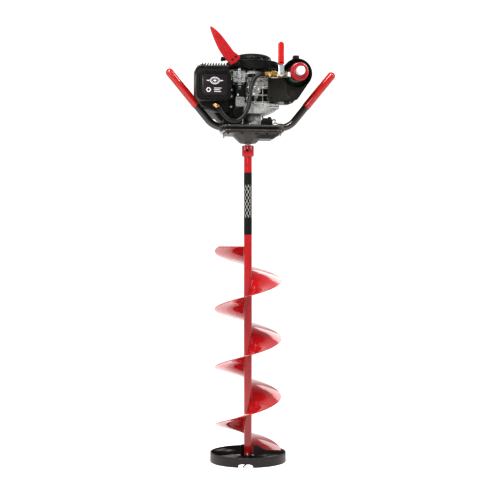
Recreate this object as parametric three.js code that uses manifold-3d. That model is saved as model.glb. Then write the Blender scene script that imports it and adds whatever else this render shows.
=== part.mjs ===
// Propane powered ice auger: power head, gearcase, handlebars, auger and blade guard.
// Millimetres, +Z up, -Y towards the front, origin on the auger's axis at floor level.
import * as THREE from 'three';
import { mergeVertices } from 'three/addons/utils/BufferGeometryUtils.js';
import Module from 'manifold-3d';

const wasm = await Module();
wasm.setup();

// ---- driving dimensions ----
const GAP = 0.3;                    // air between touching pieces

const SHAFT_R = 14.3;               // 1-1/8 inch auger tube
const SHAFT_BORE_R = 12.2;
const SHAFT_BOTTOM = 20.3;
const SHAFT_TOP = 1118;
const FLIGHT_R = 119.5;
const FLIGHT_PITCH = 208;
const FLIGHT_THICK = 3;
const FLIGHT_START = -373.7;        // degrees from +X where the lowest edge lies
const FLIGHT_TURN = 323.8;          // degrees of each welded section
const FLIGHT_Z = 22;                // where the lowest edge would lie at a constant pitch
const FLIGHT_LIFT = 10;             // how much the lowest part stands above that
const COUPLER_R = 21.75;
const COUPLER_Z = [1096, 1134];
const OUTPUT_R = 11;
const BEARING_R = 19.7;
const BEARING_Z = [1153, 1167];

const GUARD_R = 136;
const GUARD_H = 34;
const GUARD_WALL = 4;
const GUARD_HUB_R = 33;
const GUARD_FLOOR = 4;
const GUARD_LEDGE_Z = [26, 30];
const GUARD_SCREEN_TOP = 42;

const TUB_BOTTOM = 1142;
const PLATE_Z = [1181, 1202];       // cast plate that the engine and the handlebars bolt to
const COUNTER = [62, 0];            // countershaft axis
const CRANK = [20, 30];             // crankshaft axis
const OUT_GEAR_TEETH = 40;
const SMALL_PINION_TEETH = 8;
const COUNTER_GEAR_TEETH = 36;
const CRANK_PINION_TEETH = 9;
// Modules follow from the distances between the shafts.
const OUT_MODULE = 2 * COUNTER[0] / (OUT_GEAR_TEETH + SMALL_PINION_TEETH);
const COUNTER_MODULE = 2 * Math.hypot(CRANK[0] - COUNTER[0], CRANK[1] - COUNTER[1])
  / (COUNTER_GEAR_TEETH + CRANK_PINION_TEETH);

const BAR_MID = 12.5;               // the handlebars are symmetric about this X
const BAR_Z = 1200;
const BAR_R = 13;
const BAR_WALL = 2.2;
const BAR_BEND = 69;
const BAR_BEND_START = 103.3;       // from BAR_MID to where the bend starts
const BAR_ANGLE = THREE.MathUtils.degToRad(50.6);
const GRIP_R = 14.6;
const GRIP_FROM = 64.5;             // along the straight, from the end of the bend
const GRIP_LENGTH = 166;

const SUMP_Z = [1247, 1285];
const CASE_TOP = 1382;
const BLOWER_Z = [1404, 1436];
const BLOWER_R = 95;
const RECOIL_TOP = 1466;
const CYL_Z = 1338;                 // cylinder axis height
const ROPE_Z = 1444;                // the recoil rope leaves the cover at this height
const LEAF_TOP = 1545;

const BOTTLE = [171, 1390];         // X and Z of the gas bottle's axis
const BOTTLE_R = 49;
const SHROUD_R = 53;
const SHROUD_FRONT = -61;           // front face of the bottle shroud and its web
const VALVE = [107, -74, 1382.7];    // centre of the ball valve

// ---- helpers ----
const group = new THREE.Group();

// Adds one named piece with its own material.
function piece(name, geometry, colour, roughness, metalness = 0) {
  const material = new THREE.MeshStandardMaterial({ color: colour, roughness, metalness });
  const mesh = new THREE.Mesh(geometry, material);
  mesh.name = name;
  group.add(mesh);
  return mesh;
}

function toSolid(geometry) {
  const bare = geometry.clone();
  bare.deleteAttribute('normal');
  bare.deleteAttribute('uv');
  const merged = mergeVertices(bare, 1e-4);
  return new wasm.Manifold(new wasm.Mesh({
    numProp: 3,
    vertProperties: merged.attributes.position.array,
    triVerts: new Uint32Array(merged.index.array),
  }));
}

function toGeometry(solid) {
  const mesh = solid.getMesh();
  const geometry = new THREE.BufferGeometry();
  geometry.setAttribute('position', new THREE.BufferAttribute(mesh.vertProperties, 3));
  geometry.setIndex(new THREE.BufferAttribute(mesh.triVerts, 1));
  return geometry;
}

function join(first, ...others) {
  return toGeometry(others.reduce((sum, g) => sum.add(toSolid(g)), toSolid(first)));
}

function cut(first, ...tools) {
  return toGeometry(tools.reduce((rest, g) => rest.subtract(toSolid(g)), toSolid(first)));
}

function box(x0, x1, y0, y1, z0, z1) {
  const geometry = new THREE.BoxGeometry(x1 - x0, y1 - y0, z1 - z0);
  return geometry.translate((x0 + x1) / 2, (y0 + y1) / 2, (z0 + z1) / 2);
}

// Cylinders along each axis, centred on the two other coordinates.
function rodZ(r, z0, z1, x = 0, y = 0, sides = 24) {
  const geometry = new THREE.CylinderGeometry(r, r, z1 - z0, sides).rotateX(Math.PI / 2);
  return geometry.translate(x, y, (z0 + z1) / 2);
}

function rodX(r, x0, x1, y, z, sides = 20) {
  const geometry = new THREE.CylinderGeometry(r, r, x1 - x0, sides).rotateZ(Math.PI / 2);
  return geometry.translate((x0 + x1) / 2, y, z);
}

function rodY(r, y0, y1, x, z, sides = 20) {
  const geometry = new THREE.CylinderGeometry(r, r, y1 - y0, sides);
  return geometry.translate(x, (y0 + y1) / 2, z);
}

// A turned piece about Z: the profile is [radius, height] pairs, up the outside first.
function turned(profile, x = 0, y = 0, sides = 24) {
  const points = profile.map(([r, z]) => new THREE.Vector2(r, z));
  return new THREE.LatheGeometry(points, sides).rotateX(Math.PI / 2).translate(x, y, 0);
}

// The same about an axis along +Y, the profile's height being Y.
function turnedY(profile, x, z, sides = 24) {
  const points = profile.map(([r, y]) => new THREE.Vector2(r, y));
  return new THREE.LatheGeometry(points, sides).translate(x, 0, z);
}

function outline(points) {
  return new THREE.Shape(points.map(([a, b]) => new THREE.Vector2(a, b)));
}

// A flat shape drawn in X and Y, raised from z0 to z1.
function raised(shape, z0, z1, curveSegments = 6) {
  const options = { depth: z1 - z0, bevelEnabled: false, curveSegments };
  return new THREE.ExtrudeGeometry(shape, options).translate(0, 0, z0);
}

// A flat shape drawn in X and Z, run from y0 to y1.
function sideways(shape, y0, y1, curveSegments = 3) {
  const options = { depth: y1 - y0, bevelEnabled: false, curveSegments };
  return new THREE.ExtrudeGeometry(shape, options).rotateX(Math.PI / 2).translate(0, y1, 0);
}

function roundedRect(x0, x1, y0, y1, r) {
  const shape = new THREE.Shape();
  shape.moveTo(x0 + r, y0);
  shape.lineTo(x1 - r, y0);
  shape.absarc(x1 - r, y0 + r, r, -Math.PI / 2, 0);
  shape.lineTo(x1, y1 - r);
  shape.absarc(x1 - r, y1 - r, r, 0, Math.PI / 2);
  shape.lineTo(x0 + r, y1);
  shape.absarc(x0 + r, y1 - r, r, Math.PI / 2, Math.PI);
  shape.lineTo(x0, y0 + r);
  shape.absarc(x0 + r, y0 + r, r, Math.PI, 1.5 * Math.PI);
  return shape;
}

// An arc-shaped strip in plan between two radii, angles in degrees.
function arcStrip(inner, outer, from, to, x = 0, y = 0) {
  const a = THREE.MathUtils.degToRad(from);
  const b = THREE.MathUtils.degToRad(to);
  const shape = new THREE.Shape();
  shape.absarc(x, y, outer, a, b, false);
  shape.absarc(x, y, inner, b, a, true);
  return shape;
}

// A straight-sided gear with a bore: short trapezoid teeth, thinned for backlash.
function gear(teeth, module, z0, z1, x, y, turn, bore) {
  const root = module * (teeth / 2 - 1.25);
  const tip = module * (teeth / 2 + 0.8);
  const step = 2 * Math.PI / teeth;
  const points = [];
  for (let i = 0; i < teeth; i += 1) {
    const corners = [[root, -0.27], [tip, -0.1], [tip, 0.1], [root, 0.27]];
    for (const [r, share] of corners) {
      const angle = turn + (i + share) * step;
      points.push([x + r * Math.cos(angle), y + r * Math.sin(angle)]);
    }
  }
  const shape = outline(points);
  const hole = new THREE.Path();
  hole.absarc(x, y, bore, 0, 2 * Math.PI, true);
  if (bore > 0) shape.holes.push(hole);
  return raised(shape, z0, z1);
}

// A round tube along a curve; a bore of zero makes it solid.
function tubeAlong(curve, r, bore, sides, steps) {
  const shape = new THREE.Shape();
  shape.absarc(0, 0, r, 0, 2 * Math.PI, false);
  if (bore > 0) {
    const hole = new THREE.Path();
    hole.absarc(0, 0, bore, 0, 2 * Math.PI, true);
    shape.holes.push(hole);
  }
  const options = { steps, extrudePath: curve, curveSegments: sides };
  return new THREE.ExtrudeGeometry(shape, options);
}

// ---- auger ----
// One welded flight section: a flat strip wrapped into a helix round the shaft.
function flight(index) {
  const steps = 20;
  const innerR = SHAFT_R + GAP;
  const strip = new THREE.BoxGeometry(1, 1, FLIGHT_THICK, steps, 1, 1);
  const position = strip.attributes.position;
  const trim = 0.15;
  const from = FLIGHT_START + index * FLIGHT_TURN + trim;
  const sweep = FLIGHT_TURN - 2 * trim;
  for (let i = 0; i < position.count; i += 1) {
    const degrees = from + (position.getX(i) + 0.5) * sweep;
    const radius = FLIGHT_R - (position.getY(i) + 0.5) * (FLIGHT_R - innerR);
    const angle = THREE.MathUtils.degToRad(degrees);
    const past = degrees - FLIGHT_START;
    const lift = FLIGHT_LIFT * (1 - THREE.MathUtils.smoothstep(past, 60, 150));
    const z = FLIGHT_Z + FLIGHT_PITCH * past / 360 + lift + position.getZ(i);
    position.setXYZ(i, radius * Math.cos(angle), radius * Math.sin(angle), z);
  }
  return strip;
}

function auger() {
  const tube = turned([
    [SHAFT_BORE_R, SHAFT_BOTTOM], [SHAFT_R, SHAFT_BOTTOM],
    [SHAFT_R, SHAFT_TOP], [SHAFT_BORE_R, SHAFT_TOP], [SHAFT_BORE_R, SHAFT_BOTTOM],
  ]);
  piece('auger_shaft', tube, 0xc41d22, 0.35, 0.1);
  for (let i = 0; i < 4; i += 1) {
    piece('flight_' + (i + 1), flight(i), 0xd01f25, 0.3, 0.1);
  }

  const screwZ = (COUPLER_Z[0] + COUPLER_Z[1]) / 2 + 1;
  const collar = turned([
    [SHAFT_R + GAP, COUPLER_Z[0]], [COUPLER_R - 1, COUPLER_Z[0]], [COUPLER_R, COUPLER_Z[0] + 1],
    [COUPLER_R, COUPLER_Z[1] - 1], [COUPLER_R - 1, COUPLER_Z[1]], [OUTPUT_R + 0.4, COUPLER_Z[1]],
    [OUTPUT_R + 0.4, SHAFT_TOP + GAP], [SHAFT_R + GAP, SHAFT_TOP + GAP],
    [SHAFT_R + GAP, COUPLER_Z[0]],
  ]);
  const screwHole = rodY(4.3, -30, -5, -5, screwZ, 16);
  piece('coupler', cut(collar, screwHole), 0xc41d22, 0.35, 0.1);
  const screw = rodY(4, -COUPLER_R - 0.5, -SHAFT_R - 1.4, -5, screwZ, 16);
  piece('coupler_screw', screw, 0x303335, 0.4, 0.8);

  // Cutter head: a block under the tube with two arms that carry the blades.
  const block = rodZ(19, 12.5, SHAFT_BOTTOM - GAP);
  const plug = rodZ(SHAFT_BORE_R - GAP, 19, 44);
  const arms = box(-78, 78, -9, 9, 12.5, 18);
  piece('cutter_head', join(block, plug, arms), 0xb51c20, 0.4, 0.2);
  for (const side of [-1, 1]) {
    const blade = outline([
      [side * 34, -15 * side], [side * 122, -21 * side],
      [side * 122, 4 * side], [side * 34, 15 * side],
    ]);
    const name = side < 0 ? 'blade_left' : 'blade_right';
    piece(name, raised(blade, 8.5, 12.2), 0xb9bdc0, 0.3, 0.9);
  }
}

// A tray that the blades stand in: a ring, a part floor, and ledges over the gaps between the
// blades. It comes off downwards.
function bladeGuard() {
  const inner = GUARD_R - GUARD_WALL;
  const reach = GUARD_R - 2;
  const ring = turned([
    [inner, 0], [GUARD_R - 1, 0], [GUARD_R, 1], [GUARD_R, GUARD_H - 1],
    [GUARD_R - 1, GUARD_H], [inner, GUARD_H], [inner, 0],
  ], 0, 0, 36);
  const hub = rodZ(GUARD_HUB_R, 0, GUARD_FLOOR);
  const wall = raised(arcStrip(24, 28, 55, 155), 0, 56);
  const floors = [[18, 62], [128, 196], [292, 350]].map(([from, to]) => (
    raised(arcStrip(GUARD_HUB_R - 3, reach, from, to), 0, GUARD_FLOOR)));
  const [low, high] = GUARD_LEDGE_Z;
  const ledges = [[27, 60], [128, 154], [300, 342]].map(([from, to]) => (
    raised(arcStrip(60, reach, from, to), low, high)));
  // The front right ledge ends in a wall that climbs towards the hub.
  const screen = raised(outline([
    [58, -18.9], [128, -41.6], [128, -44.7], [58, -22],
  ]), low + 1, GUARD_SCREEN_TOP);
  const climb = sideways(outline([
    [25, 0], [62, 0], [62, GUARD_SCREEN_TOP], [47, GUARD_SCREEN_TOP + 6],
    [33, GUARD_SCREEN_TOP + 18], [25, GUARD_SCREEN_TOP + 18],
  ]), -23.2, -20.2);
  // The front left ledge leaves a slot along the wall.
  const slotted = [[60, 114, 206, 238], [110, reach, 206, 209], [110, reach, 235, 238]]
    .map(([from, to, start, end]) => raised(arcStrip(from, to, start, end), low, high));
  const body = join(ring, hub, wall, screen, climb, ...floors, ...ledges, ...slotted);
  const notch = box(-58, 2, -GUARD_R - 5, -GUARD_R + 14, -1, 12.6);
  const floorSlot = raised(arcStrip(58, 112, 138, 158), -1, GUARD_FLOOR + 1);
  piece('blade_guard', cut(body, notch, floorSlot), 0x2c2a29, 0.55);
}

// ---- gearcase ----
function gearcase() {
  const funnelTop = PLATE_Z[0] - GAP;
  const funnel = turned([
    [0, TUB_BOTTOM], [28.5, TUB_BOTTOM], [60, 1173.5], [62, funnelTop], [0, funnelTop],
  ]);
  const extension = sideways(outline([
    [20, 1156], [87, 1156], [115, funnelTop - 1], [115, funnelTop], [20, funnelTop],
  ]), -42, 42);
  const flange = raised(roundedRect(-86, 116, -70, 70, 26), 1173, funnelTop, 3);
  const gearWell = rodZ(55, 1171, 1190);
  const pinionWell = rodZ(15, 1161, 1190, COUNTER[0], COUNTER[1], 20);
  const bearingWell = rodZ(BEARING_R + GAP, BEARING_Z[0] - 1, 1190);
  const shaftBore = rodZ(OUTPUT_R + 1, 1130, 1160);
  const tub = cut(join(funnel, extension, flange), gearWell, pinionWell, bearingWell, shaftBore);
  piece('gearcase_tub', tub, 0x5f5a56, 0.45, 0.5);

  // The plate is a cast channel section: two lips with a groove between them.
  const [z0, z1] = PLATE_Z;
  const lower = raised(roundedRect(-96, 116, -72, 72, 28), z0, z0 + 5, 3);
  const core = raised(roundedRect(-92, 110, -66, 66, 24), z0 + 4, z1 - 4, 3);
  const upper = raised(roundedRect(-100, 118, -75, 75, 30), z1 - 5, z1, 3);
  // A socket at each end holds the foot of a handlebar.
  const socketR = BAR_R + 3.5;
  const sockets = [-1, 1].map((side) => {
    const middle = BAR_MID + side * 105;
    const sleeve = rodX(socketR, middle - 11, middle + 11, 0, BAR_Z, 24);
    const foot = box(middle - 11, middle + 11, -socketR, socketR, z0 + 2, z1 - 2);
    return join(sleeve, foot);
  });
  const barHoles = [-1, 1].map((side) => tubeAlong(new BarCurve(side), BAR_R + GAP, 0, 5, 16));
  const wellOut = rodZ(55, z0 - 1, z0 + 3);
  const wellCounter = rodZ(45.5, z0 - 1, z1 - 6, COUNTER[0], COUNTER[1]);
  const crankBore = rodZ(13, z0 - 1, z1 + 1, CRANK[0], CRANK[1], 20);
  const topBearing = rodZ(OUTPUT_R + 1, z0 - 1, z1 - 6);
  const plate = cut(join(lower, core, upper, ...sockets),
    wellOut, wellCounter, crankBore, topBearing, ...barHoles);
  piece('mounting_plate', plate, 0x65605b, 0.4, 0.5);
}

function geartrain() {
  const step = OUTPUT_R;
  const shaft = turned([
    [0, 1068], [step - 1.5, 1068], [step, 1069.5], [step, 1190], [0, 1190],
  ], 0, 0, 24);
  piece('output_shaft', shaft, 0x9a9da0, 0.3, 0.9);
  const outGear = gear(OUT_GEAR_TEETH, OUT_MODULE, 1173, 1179.5, 0, 0, 0, step + 0.8);
  piece('output_gear', outGear, 0x8c8f92, 0.4, 0.9);
  const bearing = turned([
    [step + GAP, BEARING_Z[0]], [BEARING_R, BEARING_Z[0]], [BEARING_R, BEARING_Z[1]],
    [step + GAP, BEARING_Z[1]], [step + GAP, BEARING_Z[0]],
  ]);
  piece('output_bearing', bearing, 0xa9acaf, 0.25, 0.9);

  // Countershaft: the small pinion faces the output gear, the large gear the clutch pinion.
  const [cx, cy] = COUNTER;
  const faceOutput = Math.PI + Math.PI / SMALL_PINION_TEETH;
  const pinion = gear(SMALL_PINION_TEETH, OUT_MODULE, 1172, 1182, cx, cy, faceOutput, 0);
  const toCrank = Math.atan2(CRANK[1] - cy, CRANK[0] - cx);
  const big = gear(COUNTER_GEAR_TEETH, COUNTER_MODULE, 1181, 1193, cx, cy, toCrank, 0);
  const axle = rodZ(6, 1163, 1195, cx, cy, 20);
  piece('countershaft_gears', join(pinion, big, axle), 0x8c8f92, 0.4, 0.9);

  // Clutch drum: a cup opening upwards, with its pinion underneath.
  const [x, y] = CRANK;
  const drum = turned([
    [0, 1197], [10, 1197], [10, 1205], [27, 1205], [27, 1226],
    [25, 1226], [25, 1207.5], [0, 1207.5],
  ], x, y, 20);
  const meet = toCrank + Math.PI + Math.PI / CRANK_PINION_TEETH;
  const small = gear(CRANK_PINION_TEETH, COUNTER_MODULE, 1183, 1198, x, y, meet, 0);
  piece('clutch_drum', join(drum, small), 0x8c8f92, 0.4, 0.9);
}

// ---- handlebars ----
// Centreline of one handlebar: level, bend, then a straight rise.
class BarCurve extends THREE.Curve {
  constructor(side) {
    super();
    this.side = side;
    this.lead = 2.3;
    this.arc = BAR_BEND * BAR_ANGLE;
    this.rise = GRIP_FROM - 12 + GRIP_LENGTH;
    this.total = this.lead + this.arc + this.rise;
  }

  getPoint(t, target = new THREE.Vector3()) {
    const s = t * this.total;
    const bend = Math.min(Math.max((s - this.lead) / BAR_BEND, 0), BAR_ANGLE);
    const after = Math.max(s - this.lead - this.arc, 0);
    const before = Math.min(s, this.lead);
    const along = BAR_BEND_START - this.lead + before
      + BAR_BEND * Math.sin(bend) + after * Math.cos(BAR_ANGLE);
    const up = BAR_BEND * (1 - Math.cos(bend)) + after * Math.sin(BAR_ANGLE);
    return target.set(BAR_MID + this.side * along, 0, BAR_Z + up);
  }
}

function handlebars() {
  for (const side of [-1, 1]) {
    const name = side < 0 ? 'left' : 'right';
    const bar = tubeAlong(new BarCurve(side), BAR_R, BAR_R - BAR_WALL, 5, 16);
    piece('handlebar_' + name, bar, 0x3a332f, 0.35, 0.3);

    // The grip is a closed sleeve that slides over the bar's end.
    const bore = BAR_R + GAP;
    const end = GRIP_LENGTH;
    const sleeve = turned([
      [bore, 0], [GRIP_R - 0.6, 0], [GRIP_R, 1.5], [GRIP_R, end - 12], [12.6, end - 4.5],
      [7.5, end - 0.8], [0, end], [0, end - 10], [bore, end - 10], [bore, 0],
    ], 0, 0, 16);
    const grip = piece('grip_' + name, sleeve, 0xe0312b, 0.4);
    const start = new BarCurve(side);
    const share = (start.lead + start.arc + GRIP_FROM) / start.total;
    grip.position.copy(start.getPoint(share));
    grip.rotation.y = side * (Math.PI / 2 - BAR_ANGLE);
  }
}

// ---- engine ----
function engineBase() {
  const [x, y] = CRANK;
  // Clutch housing: a hollow neck that flares to the plate.
  const neck = turned([
    [29, PLATE_Z[1] + GAP], [46, PLATE_Z[1] + GAP], [46, PLATE_Z[1] + 5], [34, 1222],
    [33, SUMP_Z[0] - GAP], [29, SUMP_Z[0] - GAP], [29, PLATE_Z[1] + GAP],
  ], x, y);
  piece('clutch_housing', neck, 0xb4b4ae, 0.5, 0.6);

  // Oil sump: a cast pan whose right end overhangs and tapers.
  const pan = sideways(outline([
    [-58, SUMP_Z[1]], [-58, 1262], [-40, SUMP_Z[0]], [66, SUMP_Z[0]],
    [109, 1266], [109, SUMP_Z[1]],
  ]), -32, 88);
  const hollow = box(-52, 60, -26, 82, SUMP_Z[0] + 8, SUMP_Z[1] + 1);
  const hollowRight = box(40, 102, -26, 82, 1270, SUMP_Z[1] + 1);
  const shaftHole = rodZ(12, 1240, 1300, x, y, 20);
  const filler = rodY(14, -48, -31, -44, 1248);
  const fillerBore = rodY(9, -60, -20, -44, 1255.5, 12);
  piece('oil_sump', cut(join(pan, filler), hollow, hollowRight, shaftHole, fillerBore),
    0xb9b9b3, 0.5, 0.6);
  const cap = turnedY([
    [0, -64], [16, -64], [19, -61], [19, -50], [15, -48 - GAP], [0, -48 - GAP],
  ], -44, 1246, 20);
  piece('oil_cap', cap, 0x1d1c1b, 0.5);

  // Crankcase above the sump, open to the cylinder on its left and to both shafts.
  const shell = raised(roundedRect(-14, 86, -18, 84, 16), SUMP_Z[1] + GAP, CASE_TOP, 5);
  const chamber = rodZ(34, SUMP_Z[1] - 1, CASE_TOP - 8, x, y, 24);
  const topBore = rodZ(11, CASE_TOP - 20, CASE_TOP + 5, x, y, 20);
  const spigot = rodX(25 + GAP, -30, 10, y, CYL_Z);
  piece('crankcase', cut(shell, chamber, topBore, spigot), 0xb9b9b3, 0.5, 0.6);
}

function crankTrain() {
  const [x, y] = CRANK;
  const lowerWeb = rodZ(27, 1316, 1326, x, y, 24);
  const upperWeb = rodZ(27, 1350, 1360, x, y, 24);
  const pin = rodZ(7, 1325, 1351, x + 15, y, 16);
  const lowerShaft = rodZ(9, 1209, 1317, x, y, 20);
  const upperShaft = rodZ(8, 1359, 1433, x, y, 20);
  const shoeHub = rodZ(14, 1210, 1224, x, y, 20);
  const shoes = box(x - 23, x + 23, y - 8, y + 8, 1210, 1224);
  const crank = join(lowerWeb, upperWeb, pin, lowerShaft, upperShaft, shoeHub, shoes);
  piece('crankshaft', crank, 0x8c8f92, 0.3, 0.9);

  // Flywheel with cast fan vanes.
  const disc = turned([
    [8.3, 1387], [16, 1387], [16, 1392], [66, 1392], [66, 1398], [16, 1398], [16, 1402],
    [8.3, 1402], [8.3, 1387],
  ], x, y);
  const vanes = [];
  for (let i = 0; i < 8; i += 1) {
    const vane = box(38, 64, -1.5, 1.5, 1397, 1412);
    vanes.push(vane.rotateZ(i * Math.PI / 4).translate(x, y, 0));
  }
  piece('flywheel', join(disc, ...vanes), 0x9a9da0, 0.4, 0.8);

  // Rod and piston stand at the head end, clear of the crankpin's circle.
  const shank = box(-44, -16, y - 5, y + 5, CYL_Z - 4, CYL_Z + 4);
  const bigEnd = rodZ(10, CYL_Z - 5, CYL_Z + 5, -16, y, 20);
  const bigEye = rodZ(7.2, 1300, 1370, -16, y, 16);
  const smallEnd = rodZ(6, CYL_Z - 5, CYL_Z + 5, -44, y, 16);
  const smallEye = rodZ(4.2, 1300, 1370, -44, y, 16);
  piece('connecting_rod', cut(join(shank, bigEnd, smallEnd), bigEye, smallEye), 0x9a9da0, 0.4, 0.8);
  const crown = rodX(19.2, -66, -34, y, CYL_Z, 28);
  const skirt = rodX(16, -58, -30, y, CYL_Z, 24);
  piece('piston', cut(crown, skirt), 0xb5b8ba, 0.35, 0.8);

  const barrel = [];
  for (let i = 0; i < 5; i += 1) {
    const fin = -28 - i * 14;
    barrel.push(box(fin - 2.5, fin, y - 38, y + 38, CYL_Z - 38, CYL_Z + 38));
  }
  const liner = rodX(25, -88, -15, y, CYL_Z);
  const bore = rodX(19.6, -90, -10, y, CYL_Z, 28);
  piece('cylinder', cut(join(liner, ...barrel), bore), 0xa9a9a3, 0.5, 0.6);

  const head = box(-116, -88 - GAP, y - 38, y + 38, CYL_Z - 38, CYL_Z + 38);
  const chamber = rodX(16, -95, -80, y, CYL_Z, 20);
  const plugHole = rodX(6.5, -125, -90, y, CYL_Z + 18, 16);
  piece('cylinder_head', cut(head, chamber, plugHole), 0xa9a9a3, 0.5, 0.6);
  const rockerCover = raised(roundedRect(y - 34, y + 34, CYL_Z - 36, CYL_Z + 6, 8), 0, 16, 4);
  rockerCover.rotateX(Math.PI / 2).rotateZ(Math.PI / 2).translate(-116 - 16 - GAP, 0, 0);
  piece('rocker_cover', rockerCover, 0x1f1e1d, 0.45, 0.3);
  const plug = join(
    rodX(6.2, -122, -92, y, CYL_Z + 18, 16), rodX(9, -128, -118, y, CYL_Z + 18, 6),
    rodX(5, -142, -126, y, CYL_Z + 18, 16));
  piece('spark_plug', plug, 0xe8e6e0, 0.35, 0.2);
}

function intakeAndExhaust() {
  // Gas mixer: a bored throat between the filter base and the engine's front.
  const throat = box(-62, -18, -66, -34, 1352, 1392);
  const flangePlate = box(-66, -14, -36, -32, 1346, 1398);
  const lowBlock = box(-52, -20, -62, -34, 1267, 1302);
  const stem = box(-46, -26, -58, -36, 1300, 1354);
  const bore = rodX(10, -70, -24, -50, 1372, 20);
  piece('gas_mixer', cut(join(throat, flangePlate, stem, lowBlock), bore), 0xb4b4ae, 0.45, 0.6);
  const leverArm = box(-44, -34, -70, -66 - GAP, 1374, 1402);
  const leverHub = rodY(7, -73, -66 - GAP, -39, 1374, 16);
  piece('throttle_lever', join(leverArm, leverHub), 0xc8ccd0, 0.35, 0.8);

  // Air filter: base plate, foam element and the square cover with rounded corners.
  const back = sideways(roundedRect(-192, -78, 1284, 1384, 16), -84, -78);
  const intake = rodY(9, -90, -70, -100, 1368, 16);
  piece('filter_base', cut(back, intake), 0x232220, 0.55);
  const foam = sideways(roundedRect(-180, -90, 1294, 1374, 10), -112, -84 - GAP);
  piece('filter_element', foam, 0x55524c, 0.9);
  const coverBody = sideways(roundedRect(-198, -75, 1279, 1388, 22), -128, -84 - GAP);
  const coverCap = sideways(roundedRect(-192, -81, 1285, 1382, 18), -132, -127);
  const room = sideways(roundedRect(-194, -79, 1283, 1384, 18), -124, -80);
  piece('filter_cover', cut(join(coverBody, coverCap), room), 0x2a2927, 0.5);

  const can = sideways(roundedRect(-150, -82, 1300, 1388, 10), 92, 136);
  const inlet = rodY(11, 85, 100, -112, 1350, 16);
  const outlet = rodX(8, -170, -140, 118, 1320, 16);
  const inside = sideways(roundedRect(-147, -85, 1303, 1385, 8), 95, 133);
  piece('muffler', cut(can, inside, inlet, outlet), 0x6b645c, 0.55, 0.6);
}

function shrouds() {
  const [x, y] = CRANK;
  // Engine shroud: a shell over the cylinder, its top slotted for hot air. The front part
  // is wider than the rear, which leaves room for the left handlebar.
  const right = -78;
  const wide = sideways(outline([
    [-198, 1390], [-198, 1304], [-172, 1266], [-112, 1244], [right, 1244], [right, 1412],
    [-176, 1412], [-190, 1405],
  ]), -74, -26);
  const rear = sideways(outline([
    [-162, 1390], [-162, 1310], [-142, 1272], [-112, 1244], [right, 1244], [right, 1412],
    [-150, 1412],
  ]), -27, 144);
  const wideRoom = sideways(outline([
    [-194, 1390], [-194, 1306], [-170, 1271], [-111, 1248], [right + 9, 1248],
    [right + 9, 1399], [-176, 1399], [-186, 1396],
  ]), -70, -29);
  const rearRoom = sideways(outline([
    [-158, 1390], [-158, 1311], [-139, 1275], [-111, 1248], [right + 9, 1248],
    [right + 9, 1399], [-150, 1399],
  ]), -30, 140);
  const slots = [];
  for (let i = 0; i < 8; i += 1) {
    const left = -160 + i * 10;
    slots.push(box(left, left + 5, -80, 112, 1404, 1420));
  }
  const vent = box(-150, -88, 96, 132, 1390, 1420);
  const shell = cut(join(wide, rear), wideRoom, rearRoom, vent, ...slots);
  piece('engine_shroud', shell, 0x242321, 0.5);

  const blower = turned([
    [78, BLOWER_Z[0]], [BLOWER_R - 3, BLOWER_Z[0]], [BLOWER_R, BLOWER_Z[0] + 4],
    [BLOWER_R, BLOWER_Z[1] - 3], [BLOWER_R - 4, BLOWER_Z[1]], [66, BLOWER_Z[1]],
    [66, BLOWER_Z[1] - 4], [BLOWER_R - 4, BLOWER_Z[1] - 6], [BLOWER_R - 4, BLOWER_Z[0] + 4],
    [78, BLOWER_Z[0] + 4], [78, BLOWER_Z[0]],
  ], x, y, 26);
  piece('blower_housing', blower, 0x262523, 0.5);
  const cover = turned([
    [61, BLOWER_Z[1] + GAP], [75, BLOWER_Z[1] + GAP], [75, BLOWER_Z[1] + 4], [68, RECOIL_TOP - 13],
    [50, RECOIL_TOP - 2], [20, RECOIL_TOP], [0, RECOIL_TOP], [0, RECOIL_TOP - 4],
    [49, RECOIL_TOP - 6], [62, RECOIL_TOP - 15], [61, BLOWER_Z[1] + GAP],
  ], x, y, 26);
  const ropeHole = rodX(3.2, -70, -20, y - 32, ROPE_Z, 12);
  piece('recoil_cover', cut(cover, ropeHole), 0x262523, 0.5);
  const pulley = turned([
    [8.3, 1434], [34, 1434], [34, 1437.5], [28, 1438.5], [28, 1448], [34, 1449], [34, 1450.5],
    [8.3, 1450.5], [8.3, 1434],
  ], x, y);
  piece('recoil_pulley', pulley, 0x35332f, 0.6);
}

function starter() {
  const [x, y] = CRANK;
  const grip = rodX(6.5, -96, -70, y - 32, ROPE_Z, 14);
  const cross = box(-98, -88, y - 46, y - 18, ROPE_Z - 7, ROPE_Z + 7);
  piece('starter_grip', join(grip, cross), 0x1f1e1d, 0.6);
  piece('starter_rope', rodX(2, -70 + GAP, x + 34, y - 32, ROPE_Z, 8), 0xd8d4c8, 0.9);
}

// Red leaf-shaped guard that stands up from the blower housing's front left.
function leafGuard() {
  const shape = new THREE.Shape();
  shape.moveTo(-141, LEAF_TOP);
  shape.quadraticCurveTo(-118, 1532, -96, 1504);
  shape.quadraticCurveTo(-70, 1470, -57, 1453);
  shape.lineTo(-44, 1446);
  shape.lineTo(-37, 1437);
  shape.quadraticCurveTo(-50, 1420, -71, 1411);
  shape.quadraticCurveTo(-100, 1438, -117, 1470);
  shape.quadraticCurveTo(-136, 1509, -145, LEAF_TOP - 4);
  const leaf = sideways(shape, -82, -76, 6);
  const foot = box(-66, -50, -77, -62, 1420, 1434);
  piece('leaf_guard', join(leaf, foot), 0xdc2b2a, 0.4);
}

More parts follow.
